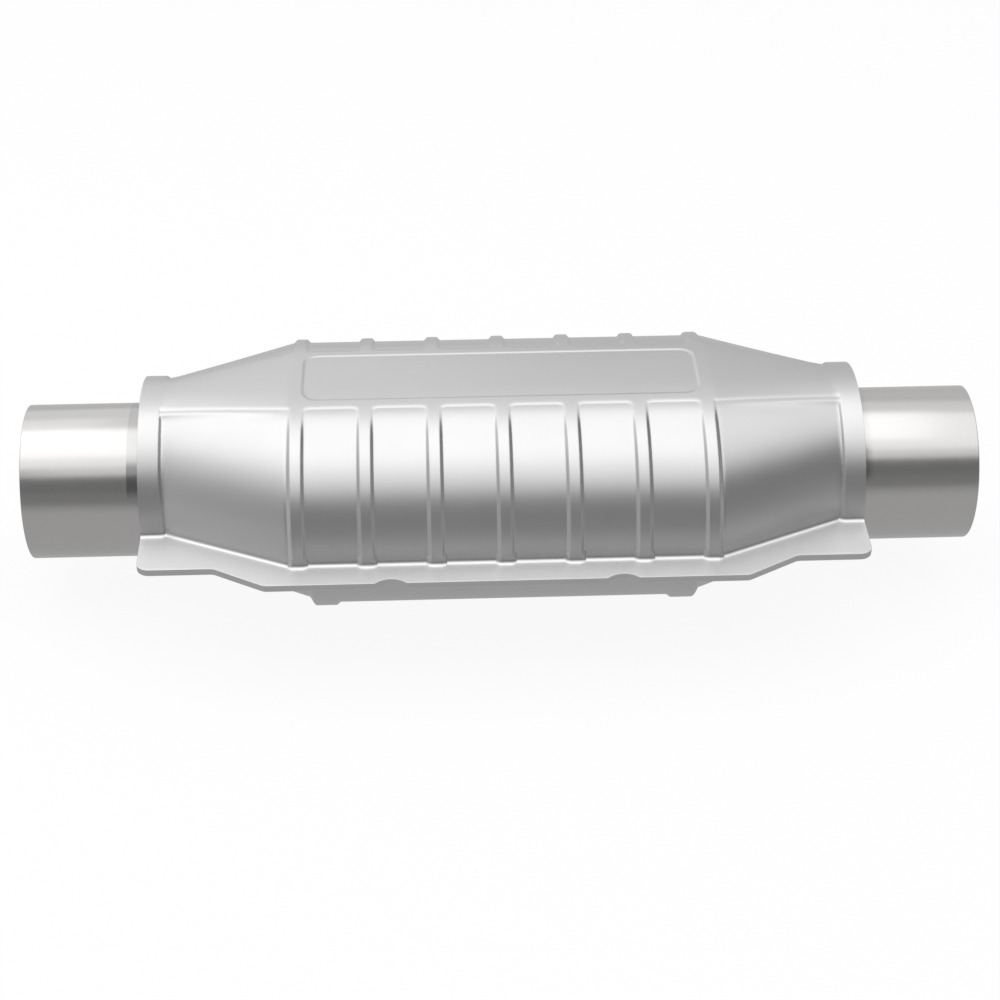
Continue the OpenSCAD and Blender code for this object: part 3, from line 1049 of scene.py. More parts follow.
    def shares(self, fine: bool) -> Array:
        """Place a skin's points from the flange to the top.

        Args:
            fine: True for the outer skin, which needs short steps at the panels' edges and at the foot, or
                False for the inner skin.

        Returns:
            The shares of the half width, as a row that falls to 0.
        """
        middle = np.zeros((1, 1))
        fullness = float(self.section(middle)[2][0, 0])
        angles = np.linspace(self.first_angle, math.pi / 2, self.samples)
        dense = np.append(np.cos(angles[:-1]) ** (2.0 / fullness), 0.0)[None, :]
        arc = self.arc_length(middle, dense)[0]
        length = float(arc[0])
        if fine:
            edges = [float(np.interp(-edge, -dense[0], arc)) for edge in self.edge_shares().values()]
            spots = [Detail(edge, self.panel_half, self.panel_mesh) for edge in edges]
            spots.append(Detail(length, self.foot_half, self.foot_mesh))
            places = graded(length, self.outer_mesh, spots)
            for edge in edges:
                places[np.argmin(np.abs(places - edge))] = edge
        else:
            places = graded(length, self.inner_mesh, [])
        return np.interp(places[::-1], arc[::-1], dense[0][::-1])[None, :]

    def outer_half(self, x: Array) -> tuple[Array, Array]:
        """Return the outer skin's points from the seam's edge to the top, on one side.

        Args:
            x: Places along X, as a column.

        Returns:
            The distance from the middle plane and the height, by place and point.
        """
        share = self.shares(fine=True)
        inset = self._inset(x, share) + self.end_round(x)
        y, z = self.skin(x, share, inset)

        top = self.sheet - self.end_round(x)
        half_w, half_h, side, fullness = self.section(x)
        foot_inset = inset[:, :1]
        height = (top + self.flange_bend) / (half_h - foot_inset)
        foot = (half_w - foot_inset) * (1.0 - height ** fullness) ** (1.0 / side)
        across, up = quarter_circle(self.bend_points)
        bend_y, bend_z = foot + self.flange_bend * across, top + self.flange_bend * up

        w = self.flange_half(x)
        across, up = quarter_circle(self.edge_points)
        seam_y, seam_z = w - self.seam_round * across, self.seam_round * up + 0.0 * w
        edge_y, edge_z = w - self.edge_round * up, top - self.edge_round * across
        land = mix(edge_y[:, -1:], bend_y[:, :1], np.array([self.land]))
        ys = [seam_y, edge_y, land, bend_y, y]
        zs = [seam_z, edge_z, top + 0.0 * land, bend_z, z]
        return np.concatenate(ys, axis=1), np.concatenate(zs, axis=1)

    def inner_half(self, x: Array) -> tuple[Array, Array]:
        """Return the inner skin's points from the seam to the top, on one side.

        Args:
            x: Places along X, as a column.

        Returns:
            The distance from the middle plane and the height, by place and point.
        """
        share = self.shares(fine=False)
        inset = self.sheet + self._inset(x, share)
        y, z = self.skin(x, share, inset)
        foot = self.section(x)[0] - inset[:, :1]
        return np.concatenate([foot, y], axis=1), np.concatenate([0.0 * foot, z], axis=1)

    def _inset(self, x: Array, share: Array) -> Array:
        """Work out the relief from the lengths along the section.

        Args:
            x: Places along X, as a column.
            share: Shares of the half width in the middle, as a row.

        Returns:
            The inset by place and share.
        """
        fine = self.shares(fine=True)
        arc = self.arc_length(x, fine)
        nearest = {name: int(np.argmin(np.abs(fine[0] - edge))) for name, edge in self.edge_shares().items()}
        edges = {name: arc[:, [at]] for name, at in nearest.items()}
        return self.relief(x, share, self.arc_length(x, share), edges)

    def build(self) -> None:
        """Sweep the half along X and hand it over."""
        x = self.stations()[:, None]
        out_y, out_z = self.outer_half(x)
        in_y, in_z = self.inner_half(x)
        y = np.concatenate([-out_y, out_y[:, -2::-1], in_y, -in_y[:, -2::-1]], axis=1)
        z = np.concatenate([out_z, out_z[:, -2::-1], in_z, in_z[:, -2::-1]], axis=1)
        part = MeshPart()
        part.add_sweep(np.stack([x + 0.0 * y, y, self.upward * z], axis=2), capped=True)
        hand_over(part, self.name, Sheen.ROUNDED, SHIELD_STEEL, self.node)


@dataclass
class UpperShield(ShieldHalf):
    """The ribbed upper half.

    Attributes:
        half_width: Half the width over the ribs.
        side_fullness: Fullness of the section's sides, where 2 is an ellipse.
        top_fullness: Fullness of the section's top, where 2 is an ellipse.
        collar_radius: Outside radius of the collars.
        collar_length: Length of the collars.
        collar_step: Height of a collar above the end of its cone.
        collar_run: Run of that step over the top, between the side panels.
        corner_wall: Run of the wall beside a cone's panel, at its upper corner.
        collar_wall: Run of the same wall where the panel is at its full depth.
        low_wall: Run of the same wall at the flange.
        low_shares: Shares of the half width between which the wall widens to that.
        rib_count: Number of ribs along each side.
        rib_width: Width of a rib at half its height.
        rib_height: Height of the ribs above the panels.
        rib_foot: How far the foot of a rib's side spreads at the flange.
        foot_height: Height above the seam up to which the foot spreads.
        lip_run: Run of the wall at a side panel's upper edge.
        lip_power: How sharply that wall starts at the edge, where 1 is a straight slope.
        panel_lip: Depth of the side panels below that wall.
        panel_slope: Distance from there to a side panel's full depth.
        cone_panel_depth: Depth of the cones' panels where they meet the collars.
        cone_lip: Depth of the cones' panels below the wall at their upper edges, at the collars.
        shelf: Width of the strip below the wall, before a panel gets deeper.
        shelf_rise: How far that strip rises again on the cones.
        cone_slope: Distance from the strip to a cone panel's full depth at the collar.
        top_band: Distance between the upper edges of the side panels, over the top.
        cone_band: The same distance between the cones' panels, where they meet the collars.
        panel_corner: Radius of the side panels' upper corners.
        cone_corner: Radius of the end cones' panel corners.
        top_panel_margin: Distance of the sunk top panel from the ends of the middle.
        top_panel_rim: Distance of the sunk top panel from the side panels.
        top_panel_depth: Depth of the sunk top panel.
        top_panel_run: Run of its walls.
        top_panel_corner: Radius of its corners.
        collar_mesh: Step of the mesh at the collars' walls.
    """

    half_width: float = 69.4 * MM
    side_fullness: float = 2.75
    top_fullness: float = 1.94
    collar_radius: float = 44.8 * MM
    collar_length: float = 8.2 * MM
    collar_step: float = 0.1 * MM
    collar_run: float = 5.0 * MM
    corner_wall: float = 0.6 * MM
    collar_wall: float = 1.5 * MM
    low_wall: float = 2.2 * MM
    low_shares: tuple[float, float] = (0.87, 0.99)
    rib_count: int = 7
    rib_width: float = 5.7 * MM
    rib_height: float = 1.4 * MM
    rib_foot: float = 1.1 * MM
    foot_height: float = 6.0 * MM
    lip_run: float = 2.6 * MM
    lip_power: float = 2.6
    panel_lip: float = 0.3 * MM
    panel_slope: float = 15.0 * MM
    cone_panel_depth: float = 1.2 * MM
    cone_lip: float = 0.19 * MM
    shelf: float = 2.2 * MM
    shelf_rise: float = 0.16 * MM
    cone_slope: float = 4.0 * MM
    top_band: float = 44.4 * MM
    cone_band: float = 22.0 * MM
    panel_corner: float = 2.5 * MM
    cone_corner: float = 1.2 * MM
    top_panel_margin: float = 6.0 * MM
    top_panel_rim: float = 4.6 * MM
    top_panel_depth: float = 0.5 * MM
    top_panel_run: float = 1.3 * MM
    top_panel_corner: float = 6.5 * MM
    collar_mesh: float = 0.24 * MM

    def __post_init__(self) -> None:
        """Work out the spacing of the ribs and the places where the cones and the top panel end."""
        super().__post_init__()
        self.collar_start = self.end - self.collar_length
        self.cone_end = self.collar_start - self.wall_run
        self.rib_pitch = (2 * self.body_end - self.rib_width - self.wall_run) / (self.rib_count - 1)
        self.last_rib = self.rib_pitch * (self.rib_count - 1) / 2
        self.top_panel_end = self.body_end - self.top_panel_margin

    def stamped_places(self) -> list[Detail]:
        """Find the walls of the ribs and collars, and the ends of the cones and of the top panel.

        Returns:
            The places with the steps that they need.
        """
        half = self.wall_run / 2 + self.wall_margin
        ribs = range((self.rib_count + 1) // 2)
        walls = [k * self.rib_pitch + side * self.rib_width / 2 for k in ribs for side in (-1, 1)]
        return [Detail(at, half, self.wall_mesh) for at in (*walls, self.top_panel_end)] + [
            Detail(self.body_end, self.crease, self.crease_mesh),
            Detail(self.collar_start - self.wall_run / 2, half, self.collar_mesh),
        ]

    def down_cone(self, x: Array) -> Array:
        """Return the share of the way down an end cone."""
        return soft_ramp(np.abs(x), self.body_end, self.cone_end, self.crease / 2)

    def section(self, x: Array) -> tuple[Array, Array, Array, Array]:
        """Return the half width, half height and fullnesses of the sides and top of the section at x."""
        s, round_end = self.down_cone(x), self.collar_radius
        return (mix(self.half_width, round_end, s), mix(self.half_height, round_end, s),
                mix(self.side_fullness, ELLIPSE, s), mix(self.top_fullness, ELLIPSE, s))

    def edge_shares(self) -> dict[str, float]:
        """Return the shares of the half width where panels have their edges in the middle."""
        half_top = self.top_band / 2
        return {"side": half_top / self.half_width, "top": (half_top - self.top_panel_rim) / self.half_width}

    def placed(self, x: Array, share: Array) -> Array:
        """Return the share of the half width at which a point of the middle's section stands at x.

        Args:
            x: Places along X, as a column.
            share: Shares of the half width in the middle, as a row.

        Returns:
            The shares by place and point, which close in on the top as the cones' panels do.
        """
        edge = self.edge_shares()["side"]
        limit = mix(edge, self.cone_band / 2 / self.collar_radius, self.down_cone(x))
        below = 1.0 - (1.0 - share) * (1.0 - limit) / (1.0 - edge)
        return np.where(share < edge, share * limit / edge, below)

    def relief(self, x: Array, share: Array, arc: Array, edges: dict[str, Array]) -> Array:
        """Return how far the outer skin lies inside its full section.

        Args:
            x: Places along X, as a column.
            share: Shares of the half width, as a row.
            arc: Length along the section from the top, by place and share.
            edges: The same length at each panel's edge, by name.

        Returns:
            The inset by place and share.
        """
        far = np.abs(x)
        s = self.down_cone(x)
        wall = self.wall_run / 2
        lip_end = self.lip_run / 2

        # Outlines of the panels between the ribs and on the cones
        into = arc - edges["side"]
        above = -into * self.wall_run / self.lip_run
        gap = np.floor(np.minimum(far, self.last_rib - HAIR) / self.rib_pitch) + 0.5
        beside = np.abs(far - gap * self.rib_pitch) - (self.rib_pitch - self.rib_width) / 2
        ribbed = far < self.last_rib
        beside = np.where(ribbed, beside, self.last_rib + self.rib_width / 2 - far)
        corner = np.where(ribbed, self.panel_corner, self.cone_corner)
        within = -corner_distance(beside, above, corner)

        # Their walls, which start sharply above and spread at the flange
        lip = clamp((within + wall) / self.wall_run) ** self.lip_power
        upper = mix(smooth(within, -wall, wall), lip, smooth(above - beside, -wall, wall))
        height = self.skin(x, share, np.zeros_like(arc))[1]
        flare = 1.0 - smooth(height, self.sheet + self.flange_bend, self.foot_height)
        foot_wall = self.wall_run / 6
        foot = smooth(-beside, self.rib_foot - foot_wall, self.rib_foot + foot_wall)

        # Their depth, which grows from a strip below the upper edge
        full = mix(self.rib_height, self.cone_panel_depth, s)
        past = into - lip_end - self.shelf
        in_body = smooth(past, -self.shelf / 2, self.panel_slope)
        on_cone = 1.0 - (1.0 - clamp(past / self.cone_slope)) ** 2
        rise = self.shelf_rise * s * clamp((into - lip_end) / self.shelf) * (1.0 - on_cone)
        depth = mix(mix(self.panel_lip, self.cone_lip, s), full, mix(in_body, on_cone, s)) - rise
        side_panel = mix(upper, foot, flare) * depth

        # The sunk top panel
        top = corner_distance(far - self.top_panel_end, arc - edges["top"], self.top_panel_corner)
        top_wall = self.top_panel_run / 2
        top_panel = self.top_panel_depth * smooth(-top, -top_wall, top_wall)

        # The collar's wall beside the panels and its soft step over the top
        side_wall = mix(self.corner_wall, self.collar_wall, on_cone)
        run = mix(side_wall, self.low_wall, smooth(share, *self.low_shares))
        crisp = 1.0 - clamp((self.collar_start - far) / run) ** 2
        gentle = smooth(far, self.collar_start - self.collar_run, self.collar_start)
        collar = mix(gentle, crisp, smooth(into, -lip_end, lip_end))
        return (1.0 - crisp) * side_panel + top_panel + (1.0 - collar) * self.collar_step * s


@dataclass
class LowerShield(ShieldHalf):
    """The plain lower half, deeper in its middle.

    Attributes:
        half_width: Half its width.
        collar_radius: Outside radius of its round ends.
        cone_end: Where its end cones meet the round ends.
        belly_margin: Distance of the deep middle from the ends of the ribbed middle.
        belly_step: Drop from the deep middle to the start of the end cones.
        belly_step_run: Length of that drop.
        panel_margin: Distance of the sunk panels from the ends of the deep middle.
        panel_rim: Distance of the side panels from the full width.
        panel_between: Width between the lower edges of the side panels.
        panel_depth: Depth of the side panels.
        belly_panel_width: Width of the panel below.
        belly_panel_depth: Depth of the panel below.
        panel_corner: Radius of the panels' corners.
        cone_mesh: Step of the mesh where the cones meet the round ends.
    """

    half_width: float = 65.5 * MM
    collar_radius: float = 38.75 * MM
    cone_end: float = 126.0 * MM
    belly_margin: float = 9.1 * MM
    belly_step: float = 3.9 * MM
    belly_step_run: float = 3.2 * MM
    panel_margin: float = 9.4 * MM
    panel_rim: float = 1.5 * MM
    panel_between: float = 66.0 * MM
    panel_depth: float = 1.3 * MM
    belly_panel_width: float = 34.0 * MM
    belly_panel_depth: float = 0.5 * MM
    panel_corner: float = 6.5 * MM
    cone_mesh: float = 0.8 * MM
    wall_mesh: float = 0.32 * MM
    wall_margin: float = 0.3 * MM

    def __post_init__(self) -> None:
        """Work out where the deep middle and its panels end."""
        super().__post_init__()
        self.belly_end = self.body_end - self.belly_margin
        self.step_end = self.belly_end + self.belly_step_run
        self.panel_end = self.belly_end - self.panel_margin

    def stamped_places(self) -> list[Detail]:
        """Find the step at each end of the deep middle and the ends of the panels and cones.

        Returns:
            The places with the steps that they need.
        """
        half = self.wall_run / 2 + self.wall_margin
        drop = self.belly_step_run / 2
        return [
            Detail(self.belly_end + drop, drop + self.wall_margin, self.wall_mesh),
            Detail(self.panel_end, half, self.wall_mesh),
            Detail(self.cone_end, self.crease, self.cone_mesh),
        ]

    def down_cone(self, x: Array) -> Array:
        """Return the share of the way down an end cone."""
        return soft_ramp(np.abs(x), self.step_end, self.cone_end, self.crease / 3)

    def section(self, x: Array) -> tuple[Array, Array, Array, Array]:
        """Return the half width, half height and fullnesses of the sides and top of the section at x."""
        s, fullness = self.down_cone(x), ELLIPSE + 0.0 * x
        return (mix(self.half_width, self.collar_radius, s), mix(self.half_height, self.collar_radius, s),
                fullness, fullness)

    def edge_shares(self) -> dict[str, float]:
        """Return the shares of the half width where panels have their edges in the middle."""
        return {"upper": 1.0 - self.panel_rim / self.half_width,
                "lower": self.panel_between / 2 / self.half_width,
                "belly": self.belly_panel_width / 2 / self.half_width}

    def relief(self, x: Array, share: Array, arc: Array, edges: dict[str, Array]) -> Array:
        """Return how far the outer skin lies inside its full section.

        Args:
            x: Places along X, as a column.
            share: Shares of the half width, as a row.
            arc: Length along the section from the lowest point, by place and share.
            edges: The same length at each panel's edge, by name.

        Returns:
            The inset by place and share.
        """
        far = np.abs(x)
        wall = self.wall_run / 2
        past = far - self.panel_end
        across = np.maximum(edges["lower"] - arc, arc - edges["upper"])
        side = corner_distance(past, across, self.panel_corner)
        belly = corner_distance(past, arc - edges["belly"], self.panel_corner)
        side_panels = self.panel_depth * smooth(-side, -wall, wall)
        belly_panel = self.belly_panel_depth * smooth(-belly, -wall, wall)
        step = self.belly_step * smooth(far, self.belly_end, self.step_end) * (1.0 - self.down_cone(x))
        return side_panels + belly_panel + step


# Pipes, welds and the rings that carry the shield

@dataclass
class PipeEnd:
    """One end of the converter: its pipe, weld bead and wire mesh ring.

    Attributes:
        end: Name of the end, inlet or outlet.
        side: -1 for the inlet and 1 for the outlet.
        pipe_radius: Outside radius of the pipe.
        bore_radius: Inside radius of the pipe.
        neck_wall: Distance from the pipe to the neck's outside.
        lip_round: Rounding of the pipe's edges.
        segments: Steps round the pipe.
        bead_segments: Steps round the weld bead.
        bead_points: Points across the weld bead.
        ripple_length: Length of one ripple of the weld bead.
        ripple_depth: Depth of the ripples.
        ripple_lag: How far a ripple lags behind across the bead, as an angle.
        loop_depth: How deep the gaps in the wire mesh are.
        loop_rows: Rows of loops across the ring's end face.
        loop_count: Loops round the ring.
        loop_points: Steps of the mesh to each loop, both ways.
        row_limit: Keeps the end of a row of loops from counting as the next row.
    """

    end: str
    side: int
    pipe_radius: float = 33.35 * MM
    bore_radius: float = 31.75 * MM
    neck_wall: float = 1.8 * MM
    lip_round: float = 0.35 * MM
    segments: int = 256
    bead_segments: int = 1080
    bead_points: int = 9
    ripple_length: float = 1.5 * MM
    ripple_depth: float = 0.22 * MM
    ripple_lag: float = 0.9
    loop_depth: float = 0.45 * MM
    loop_rows: int = 5
    loop_count: int = 132
    loop_points: int = 6
    row_limit: float = 0.9999

    def span(self, node: str) -> tuple[float, float]:
        """Measure a node along X.

        Args:
            node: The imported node.

        Returns:
            How near to the middle it starts and how far from it it ends.
        """
        low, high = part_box(node)
        near, far = sorted((abs(low[0]), abs(high[0])))
        return near, far

    def pipe(self) -> None:
        """Build the pipe, with rounded edges at both ends."""
        node = f"{self.end}_pipe"
        near, far = self.span(node)
        profile = (
            rounded_corner(far, self.pipe_radius, -1, -1, self.lip_round)
            + rounded_corner(near, self.pipe_radius, 1, -1, self.lip_round)[::-1]
            + rounded_corner(near, self.bore_radius, 1, 1, self.lip_round)
            + rounded_corner(far, self.bore_radius, -1, 1, self.lip_round)[::-1]
        )
        part = lathe([(self.side * x, r) for x, r in profile], self.segments)
        hand_over(part, f"{node}_tube", Sheen.ROUNDED, PIPE_STEEL, node)

    def weld(self) -> None:
        """Build the weld bead, with the ripples that a torch leaves."""
        node = f"{self.end}_pipe_weld"
        near, far = self.span(node)
        outer = float(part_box(node)[1][2])
        turn = full_turn(self.bead_segments)
        ripples = round(2.0 * math.pi * self.pipe_radius / self.ripple_length)
        lag = np.linspace(0.0, 1.0, self.bead_points)[None, :]
        crest = np.abs(np.sin(turn * ripples / 2 + self.ripple_lag * lag ** 2))
        sink = self.ripple_depth * (1.0 - crest) * np.sin(lag * math.pi)
        arc = lag * math.pi / 2
        along = (far - near - sink) * np.cos(arc)
        out = (outer - self.pipe_radius - sink) * np.sin(arc)
        x = np.concatenate([near + along, near + 0.0 * turn], axis=1)
        r = np.concatenate([self.pipe_radius + out, self.pipe_radius + 0.0 * turn], axis=1)
        part = turned(self.side * x, r, np.cos(turn), np.sin(turn))
        hand_over(part, f"{node}_bead", Sheen.ROUNDED, WELD_METAL, node)

    def ring(self) -> None:
        """Build the knitted wire ring, with loops over its end face."""
        node = f"{self.end}_neck_ring"
        near, far = self.span(node)
        low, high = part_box(node)
        inner = self.pipe_radius + self.neck_wall
        turn = full_turn(self.loop_points * self.loop_count)
        upper, lower = float(high[2]), -float(low[2])
        outer = np.where(np.cos(turn) * upper > 0.0, upper, lower) - self.loop_depth / 3
        across = np.linspace(0.0, 1.0, self.loop_points * self.loop_rows + 1)[None, :]
        row = np.floor(across * self.loop_rows * self.row_limit)
        within_row = across * self.loop_rows - row
        loop = np.abs(np.sin(turn * self.loop_count / 2 + row * math.pi / 2)) * np.sin(within_row * math.pi)
        x_face = far - self.loop_depth * (1.0 - loop)
        r_face = mix(inner, outer, across)
        x = np.concatenate([x_face, near + 0.0 * turn, near + 0.0 * turn], axis=1)
        r = np.concatenate([r_face, outer, inner + 0.0 * turn], axis=1)
        part = turned(self.side * x, r, -np.sin(turn), np.cos(turn))
        hand_over(part, f"{node}_mesh", Sheen.ROUNDED, WIRE_MESH, node)

    def build(self) -> None:
        """Build all three pieces."""
        self.pipe()
        self.weld()
        self.ring()


# Catalyst bricks

@dataclass
class Honeycomb:
    """A catalyst brick with its open cells and its skin.

    Attributes:
        node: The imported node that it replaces.
        pitch: Distance from cell to cell.
        web: Thickness of the walls between cells.
        web_reach: Distance of the webs' ends from the oval, as a share of the skin.
        cell_margin: Least distance from the skin to the middle of a cell, as a share of the pitch.
        skin: Thickness of the skin round the cells.
        skin_proud: How far the skin stands past the cells at each end.
        oval_points: Points round the oval.
    """

    node: str
    pitch: float = 1.45 * MM
    web: float = 0.22 * MM
    web_reach: float = 0.6
    cell_margin: float = 0.7
    skin: float = 2.0 * MM
    skin_proud: float = 0.05 * MM
    oval_points: int = 144

    def outline(self) -> Array:
        """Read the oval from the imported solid.

        Returns:
            Its points, in order round it, as pairs of Y and Z.
        """
        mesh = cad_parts[self.node].data
        places = np.empty(len(mesh.vertices) * 3)
        mesh.vertices.foreach_get("co", places)
        y, z = places.reshape(-1, 3)[:, 1:].T
        turn = np.arctan2(z, y)
        order = np.argsort(turn)
        at = np.linspace(-math.pi, math.pi, self.oval_points, endpoint=False)
        r = np.interp(at, turn[order], np.hypot(y, z)[order], period=2.0 * math.pi)
        return np.stack([r * np.cos(at), r * np.sin(at)], axis=1)

    def inside(self, y: Array, z: Array, outline: Array, margin: float) -> Array:
        """Find the points that lie inside the oval by at least a margin.

        Args:
            y: The points' Y.
            z: The points' Z.
            outline: The oval's points.
            margin: The margin.

        Returns:
            True for each point that does.
        """
        turn = np.arctan2(outline[:, 1], outline[:, 0])
        radius = np.hypot(outline[:, 0], outline[:, 1])
        limit = np.interp(np.arctan2(z, y), turn, radius, period=2.0 * math.pi)
        return np.hypot(y, z) < limit - margin

    def build(self) -> None:
        """Build the webs and the skin as one piece and hand it over."""
        low, high = (np.array(corner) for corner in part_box(self.node))
        outline = self.outline()
        part = MeshPart()
        self._add_cells(part, outline, low, high)
        inner = outline * (1.0 - self.skin / np.hypot(outline[:, 0], outline[:, 1])[:, None])
        edges = ((low[0], outline), (high[0], outline), (high[0], inner), (low[0], inner))
        loops = np.stack([np.column_stack([np.full(len(ring), x), ring]) for x, ring in edges])
        part.add_sweep(loops, capped=False)
        hand_over(part, f"{self.node}_honeycomb", Sheen.CRISP, BRICK, self.node)

    def _add_cells(self, part: MeshPart, outline: Array, low: Array, high: Array) -> None:
        """Add the webs between the cells, as one closed form.

        Args:
            part: The piece that they join.
            outline: The oval's points.
            low: The brick's lowest corner.
            high: The brick's highest corner.
        """
        lines = []
        for half in high[1:]:
            count = int(half / self.pitch) + 1
            centres = np.arange(-count, count + 1) * self.pitch
            lines.append(np.sort(np.concatenate([centres - self.web / 2, centres + self.web / 2])))
        ys, zs = lines
        mid_y, mid_z = (0.5 * (line[1:] + line[:-1]) for line in lines)
        grid_y, grid_z = np.meshgrid(mid_y, mid_z, indexing="ij")
        cell = (np.arange(len(mid_y))[:, None] % 2 == 1) & (np.arange(len(mid_z))[None, :] % 2 == 1)
        filled = self.inside(grid_y, grid_z, outline, self.web_reach * self.skin)
        hollow = cell & self.inside(grid_y, grid_z, outline, self.skin + self.cell_margin * self.pitch)
        solid = filled & ~hollow
        padded = np.pad(solid, 1)
        rows, columns = len(ys), len(zs)

        def corner(i: int, j: int, end: int) -> int:
            """Return the vertex number of a corner at one end."""
            return (i * columns + j) * 2 + end

        xs = [low[0] + self.skin_proud, high[0] - self.skin_proud]
        grid = np.stack(np.meshgrid(ys, zs, xs, indexing="ij"), axis=-1).reshape(-1, 3)
        faces: list[Face] = []
        for i, j in np.argwhere(solid).tolist():
            around = ((i, j), (i + 1, j), (i + 1, j + 1), (i, j + 1))
            for end in (0, 1):
                faces.append(tuple(corner(*at, end) for at in around))
            sides = ((-1, 0, (i, j), (i, j + 1)), (1, 0, (i + 1, j), (i + 1, j + 1)),
                     (0, -1, (i, j), (i + 1, j)), (0, 1, (i, j + 1), (i + 1, j + 1)))
            for di, dj, a, b in sides:
                if not padded[i + 1 + di, j + 1 + dj]:
                    faces.append((corner(*a, 0), corner(*b, 0), corner(*b, 1), corner(*a, 1)))
        used = np.unique(np.array(faces))
        number = np.zeros(rows * columns * 2, int)
        number[used] = np.arange(len(used))
        part.add(grid[used][:, [2, 0, 1]], number[np.array(faces)])


# Inner pieces that keep their packed form

INNER_FINISHES = {
    "can_body": CAN_STEEL,
    "inlet_cone": CAN_STEEL,
    "outlet_cone": CAN_STEEL,
    "inlet_liner": CAN_STEEL,
    "outlet_liner": CAN_STEEL,
    "inlet_cone_weld": WELD_METAL,
    "outlet_cone_weld": WELD_METAL,
    "spacer_ring": WIRE_MESH,
    "front_mat": MAT,
    "rear_mat": MAT,
    "front_inlet_seal": SEAL,
    "front_outlet_seal": SEAL,
    "rear_inlet_seal": SEAL,
    "rear_outlet_seal": SEAL,
    "upper_insulation": BLANKET,
    "lower_insulation": BLANKET,
}


def dress_inner_pieces() -> None:
    """Give each inner piece that keeps its packed form its finish."""
    for node, finish in INNER_FINISHES.items():
        finish.dress(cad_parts[node])
        LOG.info("%s: packed form, %s", node, finish.name)


# Camera, floor and lights

@dataclass(frozen=True)
class PhotoCamera:
    """The camera that took the photograph.

    Attributes:
        azimuth: Angle from straight in front, in degrees.
        elevation: Angle above the horizon, in degrees.
        roll: Turn of the picture, in degrees.
        distance: Distance from the target.
        target: The point that the camera faces.
        focal_pixels: Focal length, in pixels of the picture.
        sensor: Width of the sensor, in Blender's millimetres.
        nearest: How near to the camera the picture starts.
    """

    azimuth: float = -2.095
    elevation: float = 35.08
    roll: float = -0.088
    distance: float = 969.739 * MM
    target: tuple[float, float, float] = (-0.093 * MM, 0.0, -15.394 * MM)
    focal_pixels: float = 2193.724
    sensor: float = 36.0
    nearest: float = 10.0 * MM

    def build(self) -> None:
        """Make the camera and set it as the scene's own."""
        a, e, turn = (math.radians(v) for v in (self.azimuth, self.elevation, self.roll))
        back = Vector((math.sin(a) * math.cos(e), -math.cos(a) * math.cos(e), math.sin(e)))
        right = (-back).cross(Vector((0.0, 0.0, 1.0))).normalized()
        up = right.cross(-back)
        tilted = math.cos(turn) * right + math.sin(turn) * up
        head = -math.sin(turn) * right + math.cos(turn) * up
        data = bpy.data.cameras.new("photo_camera")
        data.sensor_width = self.sensor
        data.lens = self.focal_pixels * self.sensor / IMAGE_SIZE
        data.clip_start = self.nearest
        camera = in_scene("photo_camera", data)
        turned_to = Matrix((tilted, head, back)).transposed().to_4x4()
        camera.matrix_world = Matrix.Translation(Vector(self.target) + back * self.distance) @ turned_to
        bpy.context.scene.camera = camera


@dataclass(frozen=True)
class Softbox:
    """A large soft lamp that hangs over the part and faces down.

    Attributes:
        name: The lamp's name.
        across: Its two ends along X.
        deep: Its two ends along Y.
        radiance: How bright its surface is, where 1 is white.
        height: How high it hangs.
    """

    name: str
    across: tuple[float, float]
    deep: tuple[float, float]
    radiance: float
    height: float = 1.0

    def build(self) -> None:
        """Make the lamp."""
        data = bpy.data.lights.new(self.name, "AREA")
        data.shape = "RECTANGLE"
        data.size = self.across[1] - self.across[0]
        data.size_y = self.deep[1] - self.deep[0]
        data.energy = self.radiance * math.pi * data.size * data.size_y
        lamp = in_scene(self.name, data)
        lamp.location = (sum(self.across) / 2, sum(self.deep) / 2, self.height)


def flat_stage(name: str, corners: Array, material: bpy.types.Material) -> bpy.types.Object:
    """Make a floor or card of one face, which isn't part of the object.

    Args:
        name: Its name.
        corners: Its four corners, in order.
        material: Its material.

    Returns:
        The new object.
    """
    part = MeshPart()
    part.add(corners, [(0, 1, 2, 3)])
    made = part.build(name, Sheen.ALL_SMOOTH)
    made.data.materials.append(material)
    return made


@dataclass(frozen=True)
class Flag:
    """A flat grey card that metal mirrors and that the camera doesn't see.

    Attributes:
        name: The card's name.
        low: The card's lowest corner on every axis.
        high: The card's highest corner on every axis, which equals low across the card.
        radiance: How bright it is, where 1 is white.
    """

    name: str
    low: tuple[float, float, float]
    high: tuple[float, float, float]
    radiance: float

    def corners(self) -> Array:
        """Return the card's four corners, in order.

        Returns:
            The corners, one row each.
        """
        low, high = np.array(self.low), np.array(self.high)
        first, second = (axis for axis in range(3) if low[axis] != high[axis])
        steps = np.zeros((4, 3))
        steps[1:3, first] = steps[2:4, second] = 1.0
        return low + steps * (high - low)

    def build(self) -> None:
        """Make the card."""
        material = bpy.data.materials.new(self.name)
        graph = Graph(material)
        glow = graph.node("ShaderNodeEmission", None, {"Color": WHITE, "Strength": self.radiance})
        graph.node("ShaderNodeOutputMaterial", None, {"Surface": glow})
        card = flat_stage(self.name, self.corners(), material)
        for rays in ("camera", "diffuse", "shadow", "transmission"):
            setattr(card, f"visible_{rays}", False)


# Where the cards stand: the walls round the part, the walls' feet and the cards on the floor
LEFT, RIGHT = -3.0, 2.0
FRONT, BACK = -1.0, 1.6
FOOT = -0.05
FLOOR = -0.0495


